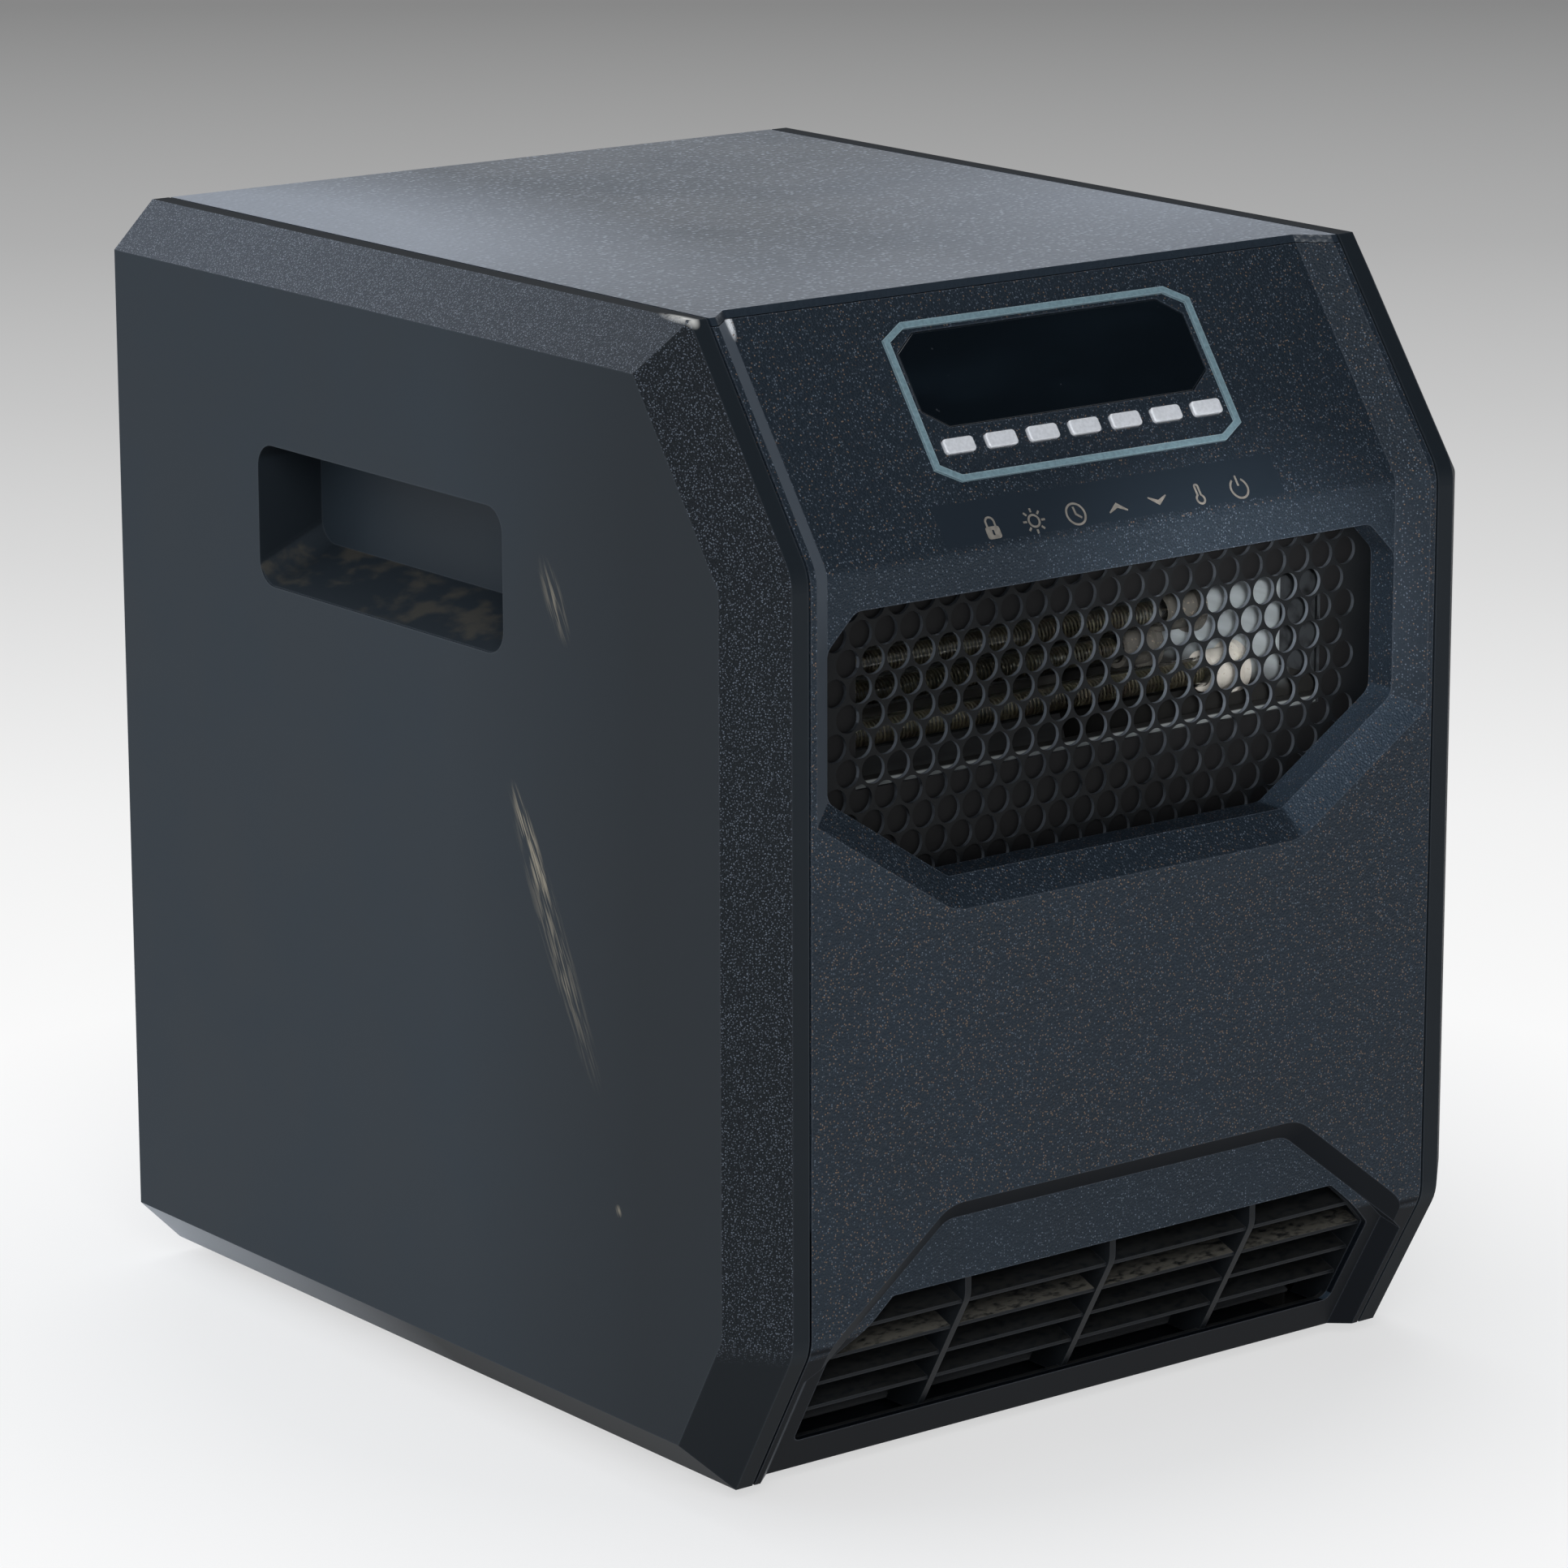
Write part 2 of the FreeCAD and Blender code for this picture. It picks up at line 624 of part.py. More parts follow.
def outlet_points():
    """Corner points (x, z) of the air outlet, counter-clockwise from the bottom left."""
    top = OUTLET_TOP_WIDTH / 2
    return [(-OUTLET_X, OUTLET_BOTTOM), (OUTLET_X, OUTLET_BOTTOM), (OUTLET_X, OUTLET_SHOULDER),
            (top, OUTLET_TOP), (-top, OUTLET_TOP), (-OUTLET_X, OUTLET_SHOULDER)]


def outlet_space():
    """Prism that cuts the air outlet through the front."""
    points = outlet_points()
    return prism(points, [OUTLET_CORNER] * len(points), on_y(-1), V(0, BODY_DEPTH / 3, 0))


# The upper slope's own axes: x across, y up the slope from the bend, z out of it

def slope_placement():
    """Placement of a piece that was made on the upper slope's own axes."""
    turn = FreeCAD.Rotation(V(1, 0, 0), 90 - math.degrees(SLOPE_LEAN))
    return FreeCAD.Placement(V(0, 0, UPPER_BEND_HEIGHT), turn)


def on_slope(shape):
    """Moves a piece from the upper slope's own axes to its place."""
    moved = shape.copy()
    moved.Placement = slope_placement().multiply(moved.Placement)
    return moved


def slope_prism(points, radii, low, high):
    """Prism on the upper slope between two heights over it, in its place."""
    return on_slope(prism(points, radii, on_z(low), V(0, 0, high - low)))


def softened_prism(points, radii, low, high, edge):
    """Prism on the upper slope whose outer rim is rounded, in its place."""
    solid = prism(points, radii, on_z(low), V(0, 0, high - low))
    rim = [line for line in solid.Edges if line.BoundBox.ZMin > high - edge / 2]
    return on_slope(solid.makeFillet(edge, rim))


def lens_points(margin):
    """Corner points of the lens, grown by a margin."""
    return cut_rectangle(LENS_WIDTH + 2 * margin, LENS_HEIGHT + 2 * margin,
                         LENS_CUT_ACROSS, LENS_CUT_UP, (0, LENS_MIDDLE))


def button_places():
    """Middle x of each button, from left to right."""
    first = BUTTON_ROW_SHIFT - BUTTON_PITCH * (len(BUTTON_NAMES) - 1) / 2
    return [first + BUTTON_PITCH * i for i in range(len(BUTTON_NAMES))]


def board_corners():
    """Middles of the posts that carry the control board."""
    x = BOARD_WIDTH / 2 - BOARD_POST_INSET
    up = RING_HEIGHT / 2 - BOARD_POST_INSET
    return [(side * x, RING_MIDDLE + end * up) for side in (-1, 1) for end in (-1, 1)]


# Screw places

def screw_heights():
    """Heights of the screws along a back edge."""
    step = (BODY_HEIGHT - 2 * SCREW_END_SPACE) / (SCREWS_PER_SIDE - 1)
    return [SCREW_END_SPACE + step * i for i in range(SCREWS_PER_SIDE)]


def screw_depths():
    """Depths of the screws along a bottom edge."""
    first = BOTTOM_SETBACK + SCREW_END_SPACE
    step = (BODY_DEPTH - SCREW_END_SPACE - first) / (SCREWS_PER_SIDE - 1)
    return [first + step * i for i in range(SCREWS_PER_SIDE)]


def screw(place, inwards, length, clearance=0.0):
    """Pan-head screw whose head's outer face is at a place. A clearance makes it a hole."""
    way = V(*inwards)
    start = V(*place)
    head = Part.makeCylinder(SCREW_HEAD / 2 + clearance, SCREW_HEAD_HEIGHT, start, way)
    shank = Part.makeCylinder(SCREW_DIAMETER / 2 + clearance, length, start, way)
    return head.fuse(shank)


def back_screws(clearance=0.0):
    """Screws through the back flanges of the shells into the back panel's tongues."""
    x = SEAM_X + TONGUE_REACH - SCREW_HEAD / 2 + SCREW_CLEARANCE
    length = SHELL_WALL + TONGUE_THICKNESS
    return [screw((side * x, BODY_DEPTH, z), (0, -1, 0), length, clearance)
            for side in (-1, 1) for z in screw_heights()]


def base_screws(clearance=0.0):
    """Screws through the bottom flanges of the shells into the base pan's tongues."""
    x = SEAM_X + TONGUE_REACH - SCREW_HEAD / 2 + SCREW_CLEARANCE
    length = SHELL_WALL + TONGUE_THICKNESS
    return [screw((side * x, y, 0), (0, 0, 1), length, clearance)
            for side in (-1, 1) for y in screw_depths()]


def motor_screws(clearance=0.0):
    """Screws through the motor's flange into the right chassis plate."""
    x = CHASSIS_X + METAL + MOTOR_FLANGE_THICKNESS + SCREW_HEAD_HEIGHT
    return [screw((x, WHEEL_FROM_FRONT + end * MOTOR_SCREW_SPREAD / 2, WHEEL_HEIGHT), (-1, 0, 0),
                  x - CHASSIS_X, clearance) for end in (-1, 1)]


def chassis_screws(clearance=0.0):
    """Screws through the feet of the chassis plates into the base pan."""
    x = CHASSIS_X + CHASSIS_FOOT / 2 + METAL
    z = PANEL_WALL + METAL + SCREW_HEAD_HEIGHT
    return [screw((side * x, y, z), (0, 0, -1), z, clearance)
            for side in (-1, 1)
            for y in (CHASSIS_FRONT + CHASSIS_FOOT_END, CHASSIS_BACK - CHASSIS_FOOT_END)]


def frame_screws(clearance=0.0):
    """Screws through the window frame and the perforated sheet into the front panel's bosses."""
    places = [(BOSS_SPREAD, BOSS_LOW_Z), (BOSS_UPPER_SPREAD, BOSS_HIGH_Z)]
    y = FRAME_BACK_Y + SCREW_HEAD_HEIGHT
    length = SCREW_HEAD_HEIGHT + FRAME_THICKNESS + SHEET_THICKNESS + RETURN_DEPTH / 2
    return [screw((side * x, y, z), (0, -1, 0), length, clearance)
            for side in (-1, 1) for x, z in places]


def board_screws(clearance=0.0):
    """Screws through the control board into its posts, in place on the slope."""
    start = BOARD_FACE - BOARD_THICKNESS - SCREW_HEAD_HEIGHT
    length = SCREW_HEAD_HEIGHT + BOARD_THICKNESS + STEM_LENGTH
    return [on_slope(screw((x, up, start), (0, 0, 1), length, clearance)) for x, up in board_corners()]


# Cabinet pieces

def grip_outline(x, rise, grow):
    """Outline of the carrying grip at one x, its floor raised, all edges moved out by grow."""
    low = GRIP_TOP_HEIGHT - GRIP_HEIGHT + rise - grow
    high = GRIP_TOP_HEIGHT + grow
    near = GRIP_FROM_FRONT - grow
    far = GRIP_FROM_FRONT + GRIP_LENGTH + grow
    points = [(near, low), (far, low), (far, high), (near, high)]
    return outline(points, [GRIP_CORNER + grow] * 4, on_x(x))


def side_shell():
    """Right side shell: flange, grained edge strips, flat side and the sunk carrying grip."""
    inner_x = SIDE_X - SHELL_WALL
    corner = SHELL_WALL * (math.sqrt(2) - 1)
    outer = Part.makeLoft([side_outline(SEAM_X, 0, 0, 0, 0, BEND_RADIUS),
                           side_outline(FLANGE_X, 0, 0, 0, 0, BEND_RADIUS),
                           side_outline(SIDE_X, EDGE_STRIP, EDGE_STRIP, EDGE_STRIP, 0, SIDE_BEND_RADIUS)],
                          True, True)
    wall = SHELL_WALL
    deep = EDGE_STRIP + corner
    bend = max(BEND_RADIUS - SHELL_WALL, SIDE_BEND_RADIUS)
    hollow = Part.makeLoft([side_outline(SEAM_X - 1, wall, wall, wall, wall, bend),
                            side_outline(FLANGE_X - corner, wall, wall, wall, wall, bend),
                            side_outline(inner_x, deep, deep, deep, wall, SIDE_BEND_RADIUS)],
                           True, True)
    pocket = Part.makeLoft([grip_outline(inner_x, 0, wall),
                            grip_outline(inner_x - GRIP_DEPTH, GRIP_FLOOR_RISE, wall)], True, True)
    cavity = Part.makeLoft([grip_outline(SIDE_X, 0, 0),
                            grip_outline(SIDE_X - GRIP_DEPTH, GRIP_FLOOR_RISE, 0)], True, True)
    mouth = Part.Face(grip_outline(SIDE_X - SHELL_WALL / 4, 0, 0)).extrude(V(SHELL_WALL, 0, 0))
    holes = back_screws(SCREW_CLEARANCE) + base_screws(SCREW_CLEARANCE)
    return outer.cut(hollow).fuse(pocket).cut([cavity, mouth] + holes)


def front_panel():
    """Front panel with the sunk upper area, the sunk arch and what the panel carries behind it."""
    skin = front_layer(0, PANEL_WALL, PANEL_X)
    tongues = front_layer(PANEL_WALL, PANEL_WALL + TONGUE_THICKNESS, TONGUE_X)
    middle = block((TONGUE_ROOT - PANEL_X, -1, -1), (PANEL_X - TONGUE_ROOT, BODY_DEPTH, FAR))
    ends = [block((-SIDE_X, -1, -1), (SIDE_X, BODY_DEPTH, TONGUE_END_SPACE)),
            block((-SIDE_X, -1, BODY_HEIGHT - TONGUE_END_SPACE), (SIDE_X, BODY_DEPTH, FAR))]
    body = block((-PANEL_X, -1, 0), (PANEL_X, BODY_DEPTH, TOP_Z - PANEL_GAP))
    behind = body.cut(front_space(0, PANEL_X))
    pans = [upper_hollow(PANEL_WALL).common(behind), lower_hollow(PANEL_WALL).common(behind)]
    panel = skin.fuse([tongues.cut([middle] + ends)] + pans)
    panel = panel.fuse([grille_return()] + panel_bosses())
    cuts = [upper_hollow(0), lower_hollow(0), grille_space(), outlet_space()] + panel_cuts()
    return panel.cut(cuts).removeSplitter()


def grille_space():
    """Prism that cuts the grille opening through the sunk area."""
    points = grille_points()
    return prism(points, [GRILLE_CORNER] * len(points), on_y(SUNK_DEPTH - PANEL_WALL),
                 V(0, RETURN_DEPTH + 2 * PANEL_WALL, 0))


def grille_return():
    """Wall that runs back from the edge of the grille opening to the perforated sheet."""
    points = inset(grille_points(), [-RETURN_WALL] * len(grille_points()))
    return prism(points, [GRILLE_CORNER + RETURN_WALL] * len(points), on_y(SUNK_DEPTH + PANEL_WALL / 2),
                 V(0, RETURN_DEPTH - PANEL_WALL / 2, 0))


def panel_bosses():
    """Bosses for the window frame and posts for the control board."""
    low = [rod(BOSS_DIAMETER, (side * BOSS_SPREAD, PANEL_WALL / 2, BOSS_LOW_Z),
               (side * BOSS_SPREAD, SHEET_Y, BOSS_LOW_Z)) for side in (-1, 1)]
    start = SUNK_DEPTH + PANEL_WALL / 2
    high = [rod(BOSS_DIAMETER, (side * BOSS_UPPER_SPREAD, start, BOSS_HIGH_Z),
                (side * BOSS_UPPER_SPREAD, SHEET_Y, BOSS_HIGH_Z)) for side in (-1, 1)]
    root = PANEL_BACK + PANEL_WALL / 2
    posts = [on_slope(rod(BOARD_POST, (x, up, BOARD_FACE), (x, up, root))) for x, up in board_corners()]
    return low + high + posts


def panel_cuts():
    """Lens seat, display window, button holes and screw holes of the front panel."""
    seat = slope_prism(lens_points(LENS_CLEARANCE), plain(range(8)), PANEL_FACE - LENS_THICKNESS, 0)
    window = slope_prism(lens_points(-LENS_LEDGE), plain(range(8)), PANEL_BACK - 1, 0)
    holes = [slope_prism(rectangle(BUTTON_WIDTH + 2 * BUTTON_CLEARANCE, BUTTON_HEIGHT + 2 * BUTTON_CLEARANCE,
                                   (x, BUTTON_ROW)), [BUTTON_CORNER + BUTTON_CLEARANCE] * 4, PANEL_BACK - 1, 0)
             for x in button_places()]
    return [seat, window] + holes + frame_screws(SCREW_CLEARANCE) + board_screws(SCREW_CLEARANCE)


def top_panel():
    """Top panel, whose front edge follows the face of the front panel."""
    plate = block((-PANEL_X, 0, TOP_Z), (PANEL_X, BODY_DEPTH, BODY_HEIGHT))
    tongue = block((PANEL_X - TONGUE_ROOT, TOP_SETBACK + TONGUE_END_SPACE, TOP_Z - TONGUE_THICKNESS),
                   (TONGUE_X, BODY_DEPTH - TONGUE_END_SPACE, TOP_Z))
    return plate.cut([front_space(0, PANEL_X), upper_hollow(0)]).fuse(both_sides(tongue))


def base_pan():
    """Base pan with side tongues and the standoffs of the power board."""
    lean = math.atan2(BOTTOM_SETBACK, LOWER_BEND_HEIGHT)
    front = BOTTOM_SETBACK + (ARCH_DEPTH + PANEL_WALL) / math.cos(lean) + PANEL_GAP
    plate = block((-PANEL_X, front, 0), (PANEL_X, BODY_DEPTH, PANEL_WALL))
    tongue = block((PANEL_X - TONGUE_ROOT, front + TONGUE_END_SPACE, PANEL_WALL),
                   (TONGUE_X, BODY_DEPTH - TONGUE_END_SPACE, PANEL_WALL + TONGUE_THICKNESS))
    posts = [rod(STANDOFF_DIAMETER, (x, y, PANEL_WALL / 2), (x, y, POWER_BOARD_Z))
             for x, y in power_board_corners()]
    pan = plate.fuse(both_sides(tongue) + posts)
    return pan.cut(base_screws(SCREW_CLEARANCE) + chassis_screws(SCREW_CLEARANCE))


def well(width, low, high, depth, grow):
    """Box of a well in the back panel, grown on all sides but the mouth."""
    return block((-width / 2 - grow, BODY_DEPTH - depth - grow, low - grow),
                 (width / 2 + grow, BODY_DEPTH, high + grow))


def intake_slots():
    """Air slots in the floor of the intake well."""
    width = (INTAKE_WIDTH - (INTAKE_SLOT_COLUMNS + 1) * INTAKE_RIM) / INTAKE_SLOT_COLUMNS
    rows = int((INTAKE_HEIGHT - 2 * INTAKE_RIM) / INTAKE_SLOT_PITCH)
    middle = INTAKE_BOTTOM + INTAKE_HEIGHT / 2
    slots = []
    for column in range(INTAKE_SLOT_COLUMNS):
        x = (column - (INTAKE_SLOT_COLUMNS - 1) / 2) * (width + INTAKE_RIM)
        for row in range(rows):
            z = middle + (row - (rows - 1) / 2) * INTAKE_SLOT_PITCH
            slots.append(block((x - width / 2, INTAKE_FLOOR_Y - 2 * WELL_WALL, z - INTAKE_SLOT_HEIGHT / 2),
                               (x + width / 2, INTAKE_FLOOR_Y + 1, z + INTAKE_SLOT_HEIGHT / 2)))
    return slots


def back_panel():
    """Back panel with the intake well, its air slots and the service well."""
    plate = block((-PANEL_X, BACK_Y, PANEL_WALL + PANEL_GAP), (PANEL_X, BODY_DEPTH, TOP_Z - PANEL_GAP))
    tongue = block((PANEL_X - TONGUE_ROOT, BACK_Y - TONGUE_THICKNESS, TONGUE_END_SPACE),
                   (TONGUE_X, BACK_Y, BODY_HEIGHT - TONGUE_END_SPACE))
    service_top = SERVICE_BOTTOM + SERVICE_HEIGHT
    outer = [well(INTAKE_WIDTH, INTAKE_BOTTOM, INTAKE_TOP, INTAKE_DEPTH, WELL_WALL),
             well(SERVICE_WIDTH, SERVICE_BOTTOM, service_top, SERVICE_DEPTH, WELL_WALL)]
    inner = [well(INTAKE_WIDTH, INTAKE_BOTTOM, INTAKE_TOP, INTAKE_DEPTH, 0),
             well(SERVICE_WIDTH, SERVICE_BOTTOM, service_top, SERVICE_DEPTH, 0)]
    holes = [rocker_hole(), gland_neck(SEAT_CLEARANCE)]
    panel = plate.fuse(outer + both_sides(tongue))
    return panel.cut(inner + intake_slots() + holes + back_screws(SCREW_CLEARANCE))


def rubber_feet():
    """Four tapered feet under the base pan, each with a screw recess."""
    feet = []
    for x in (-FOOT_SPREAD_X / 2, FOOT_SPREAD_X / 2):
        for y in (-FOOT_SPREAD_Y / 2, FOOT_SPREAD_Y / 2):
            base = V(x, BODY_DEPTH / 2 + y, -FOOT_HEIGHT)
            foot = Part.makeCone(FOOT_DIAMETER / 2 - FOOT_TAPER, FOOT_DIAMETER / 2, FOOT_HEIGHT, base)
            feet.append(foot.cut(Part.makeCylinder(FOOT_RECESS / 2, FOOT_RECESS_DEPTH, base)))
    return feet


# Grille and frame

def inside_grille(x, z):
    """Whether a hole's middle lies inside the grille opening or just behind its edge."""
    if abs(x) > GRILLE_X - HOLE_SIDE_MARGIN:
        return False
    points = inset(grille_points(), [-HOLE_EDGE_OVERLAP] * len(grille_points()))
    for (x1, z1), (x2, z2) in zip(points, points[1:] + points[:1]):
        if (x2 - x1) * (z - z1) - (z2 - z1) * (x - x1) < 0:
            return False
    return True


def hole_places():
    """Middles of the holes, in staggered rows about the middle of the opening."""
    rise = HOLE_PITCH * math.sqrt(3) / 2
    middle = (GRILLE_TOP + GRILLE_BOTTOM) / 2 - HOLE_DROP
    rows = int(GRILLE_HEIGHT / rise / 2) + 1
    columns = int(GRILLE_X / HOLE_PITCH) + 1
    places = []
    for row in range(-rows, rows + 1):
        for column in range(-columns, columns + 1):
            x = (column + 0.5 * ((row + 1) % 2)) * HOLE_PITCH
            if inside_grille(x, middle + row * rise):
                places.append((x, middle + row * rise))
    return places


def perforated_grille():
    """Steel sheet with staggered round holes behind the grille opening."""
    half = GRILLE_X + SHEET_MARGIN
    points = [(-half, SHEET_BOTTOM), (half, SHEET_BOTTOM), (half, SHEET_TOP), (-half, SHEET_TOP)]
    rim = outline(points, plain(points), on_y(SHEET_Y))
    holes = [Part.Wire(Part.makeCircle(HOLE_DIAMETER / 2, V(x, SHEET_Y, z), V(0, 1, 0)))
             for x, z in hole_places()]
    face = Part.makeFace([rim] + holes, "Part::FaceMakerBullseye")
    return face.extrude(V(0, SHEET_THICKNESS, 0)).cut(frame_screws(SCREW_CLEARANCE))


def window_frame():
    """Black frame behind the perforated sheet, with flanges bent back along the chassis plates."""
    half = GRILLE_X + SHEET_MARGIN
    plate = block((-half, FRAME_Y, SHEET_BOTTOM), (half, FRAME_BACK_Y, SHEET_TOP))
    window = block((-WINDOW_WIDTH / 2, FRAME_Y - 1, WINDOW_BOTTOM),
                   (WINDOW_WIDTH / 2, FRAME_BACK_Y + 1, WINDOW_TOP))
    flange = block((CHASSIS_X - METAL, FRAME_Y, WINDOW_BOTTOM + FRAME_FLANGE_SPACE),
                   (CHASSIS_X, FRAME_BACK_Y + FRAME_FLANGE_DEPTH, WINDOW_TOP - FRAME_FLANGE_SPACE))
    return plate.fuse(both_sides(flange)).cut([window] + frame_screws(SCREW_CLEARANCE))


# Display and buttons

def bezel_ring():
    """Octagonal ring that stands on the sunk slope round the display and the buttons."""
    outer = cut_rectangle(RING_WIDTH, RING_HEIGHT, RING_CUT_ACROSS, RING_CUT_UP, (0, RING_MIDDLE))
    inner = inset(outer, [RING_BAND] * len(outer))
    ring = slope_prism(outer, plain(outer), PANEL_FACE, PANEL_FACE + RING_PROUD)
    return ring.cut(slope_prism(inner, plain(inner), PANEL_FACE - 1, PANEL_FACE + RING_PROUD + 1))


def display_lens():
    """Dark lens seated in the panel, flush with it."""
    return softened_prism(lens_points(0), plain(range(8)), PANEL_FACE - LENS_THICKNESS, PANEL_FACE, LENS_EDGE)


def push_button(x):
    """Button cap with a retaining lip behind the panel and a stem towards its switch."""
    middle = (x, BUTTON_ROW)
    cap = softened_prism(rectangle(BUTTON_WIDTH, BUTTON_HEIGHT, middle), [BUTTON_CORNER] * 4,
                         PANEL_BACK, PANEL_FACE + BUTTON_PROUD, BUTTON_EDGE)
    spread = 2 * (BUTTON_LIP + BUTTON_CLEARANCE)
    lip = slope_prism(rectangle(BUTTON_WIDTH + spread, BUTTON_HEIGHT + spread, middle), [BUTTON_CORNER] * 4,
                      PANEL_BACK - BUTTON_LIP_THICKNESS, PANEL_BACK)
    stem = slope_prism(rectangle(STEM_WIDTH, STEM_WIDTH, middle), plain(range(4)),
                       STEM_END, PANEL_BACK - BUTTON_LIP_THICKNESS)
    return cap.fuse([lip, stem])


def tact_switches():
    """One small switch on the board under each button's stem."""
    return [slope_prism(rectangle(SWITCH_WIDTH, SWITCH_WIDTH, (x, BUTTON_ROW)), plain(range(4)),
                        BOARD_FACE, SWITCH_TOP) for x in button_places()]


def control_board():
    """Circuit board behind the display, on the front panel's posts."""
    points = rectangle(BOARD_WIDTH, RING_HEIGHT - BOARD_MARGIN, (0, RING_MIDDLE))
    board = slope_prism(points, [BOARD_MARGIN] * 4, BOARD_FACE - BOARD_THICKNESS, BOARD_FACE)
    return board.cut(board_screws(SCREW_CLEARANCE))


def display_module():
    """Digit module that stands on the board behind the lens."""
    points = rectangle(MODULE_WIDTH, MODULE_HEIGHT, (0, LENS_MIDDLE))
    return slope_prism(points, plain(points), BOARD_FACE, BOARD_FACE + MODULE_DEPTH)


# Air outlet

def outlet_louvre():
    """Outlet insert: a frame behind the panel, slats that dip to the front, upright ribs."""
    half = OUTLET_X + LOUVRE_OVERLAP
    frame = front_layer(LOUVRE_FACE, LOUVRE_FACE + LOUVRE_FRAME, half)
    frame = frame.common(block((-half, -1, OUTLET_BOTTOM - LOUVRE_OVERLAP),
                               (half, BODY_DEPTH, OUTLET_TOP + LOUVRE_OVERLAP)))
    frame = frame.cut(outlet_space())
    face = LOUVRE_FACE + LOUVRE_RECESS
    band = front_layer(face, face + RIB_DEPTH, half)
    band = band.common(block((-half, -1, OUTLET_BOTTOM - RIB_THICKNESS), (half, BODY_DEPTH, OUTLET_TOP + RIB_THICKNESS)))
    ribs = []
    end = OUTLET_X + RIB_THICKNESS / 2
    places = [(i - (RIB_COUNT - 1) / 2) * RIB_SPACING for i in range(RIB_COUNT)] + [-end, end]
    for x in places:
        ribs.append(band.common(block((x - RIB_THICKNESS / 2, -1, 0), (x + RIB_THICKNESS / 2, BODY_DEPTH, FAR))))
    return frame.fuse(ribs + outlet_slats(face, end))


def outlet_slats(face, half):
    """Thin slats spaced evenly up the outlet, each rising to the back."""
    tilt = math.radians(SLAT_TILT)
    along = (SLAT_DEPTH * math.cos(tilt), SLAT_DEPTH * math.sin(tilt))
    step = (OUTLET_TOP - OUTLET_BOTTOM) / (SLAT_COUNT + 1)
    slats = []
    for i in range(1, SLAT_COUNT + 1):
        z = OUTLET_BOTTOM + step * i
        y = front_y(z, face) + SLAT_THICKNESS / 2
        points = [(y, z), (y + along[0], z + along[1]), (y + along[0], z + along[1] + SLAT_THICKNESS),
                  (y, z + SLAT_THICKNESS)]
        slats.append(prism(points, plain(points), on_x(-half), V(2 * half, 0, 0)))
    return slats


# Chassis, heat chamber and ducts

def tube_places():
    """Middles (y, z) of the quartz tubes: a lower row and a staggered upper row."""
    places = []
    for column in range(TUBE_COLUMNS):
        y = TUBE_FIRST_DEPTH + column * TUBE_PITCH
        places.append((y, TUBE_Z))
        places.append((y + TUBE_PITCH / 2, TUBE_Z + TUBE_ROW_RISE))
    return places


def chassis_plate():
    """Right chassis plate with its foot, cap holes and the hole of the fan's shaft end."""
    step_low = WINDOW_BOTTOM - CHASSIS_STEP_DROP - CHASSIS_STEP
    points = [(CHASSIS_FRONT, PANEL_WALL), (CHASSIS_BACK, PANEL_WALL), (CHASSIS_BACK, ROOF_Z),
              (CHASSIS_WINDOW_FRONT, ROOF_Z), (CHASSIS_WINDOW_FRONT, step_low + CHASSIS_STEP),
              (CHASSIS_FRONT, step_low)]
    plate = prism(points, plain(points), on_x(CHASSIS_X), V(METAL, 0, 0))
    foot = block((CHASSIS_X, CHASSIS_FRONT, PANEL_WALL),
                 (CHASSIS_X + METAL + CHASSIS_FOOT, CHASSIS_BACK, PANEL_WALL + METAL))
    holes = [rod(CAP_DIAMETER + 2 * SEAT_CLEARANCE, (CHASSIS_X - 1, y, z), (CHASSIS_X + METAL + 1, y, z))
             for y, z in tube_places()]
    bearing = rod(BUSH_DIAMETER + 2 * SEAT_CLEARANCE, (CHASSIS_X - 1, WHEEL_FROM_FRONT, WHEEL_HEIGHT),
                  (CHASSIS_X + METAL + 1, WHEEL_FROM_FRONT, WHEEL_HEIGHT))
    return plate.fuse(foot).cut(holes + [bearing] + chassis_screws(SCREW_CLEARANCE))


def roof_reflector():
    """Bright sheet over the tubes, from the window frame to the rear reflector."""
    return block((-CHASSIS_X, FRAME_BACK_Y, ROOF_Z - METAL), (CHASSIS_X, REFLECTOR_Y + METAL, ROOF_Z))


def rear_reflector():
    """Sheet behind the tubes with rows of air slots."""
    plate = block((-CHASSIS_X, REFLECTOR_Y, REFLECTOR_BOTTOM), (CHASSIS_X, REFLECTOR_Y + METAL, ROOF_Z - METAL))
    pitch = 2 * CHASSIS_X / (REFLECTOR_SLOTS + 1)
    rise = (ROOF_Z - REFLECTOR_BOTTOM) / (REFLECTOR_SLOT_ROWS + 1)
    slots = []
    for row in range(1, REFLECTOR_SLOT_ROWS + 1):
        for column in range(1, REFLECTOR_SLOTS + 1):
            x = -CHASSIS_X + pitch * column
            z = REFLECTOR_BOTTOM + rise * row
            slots.append(block((x - REFLECTOR_SLOT_WIDTH / 2, REFLECTOR_Y - 1, z - REFLECTOR_SLOT_HEIGHT / 2),
                               (x + REFLECTOR_SLOT_WIDTH / 2, REFLECTOR_Y + METAL + 1,
                                z + REFLECTOR_SLOT_HEIGHT / 2)))
    return plate.cut(slots)


def tongue_tip():
    """Point (y, z) in front of and over the wheel where the inlet and the outlet divide."""
    reach = (WHEEL_RADIUS + TONGUE_GAP + METAL) / math.sqrt(2)
    return (WHEEL_FROM_FRONT - reach, WHEEL_HEIGHT + reach)


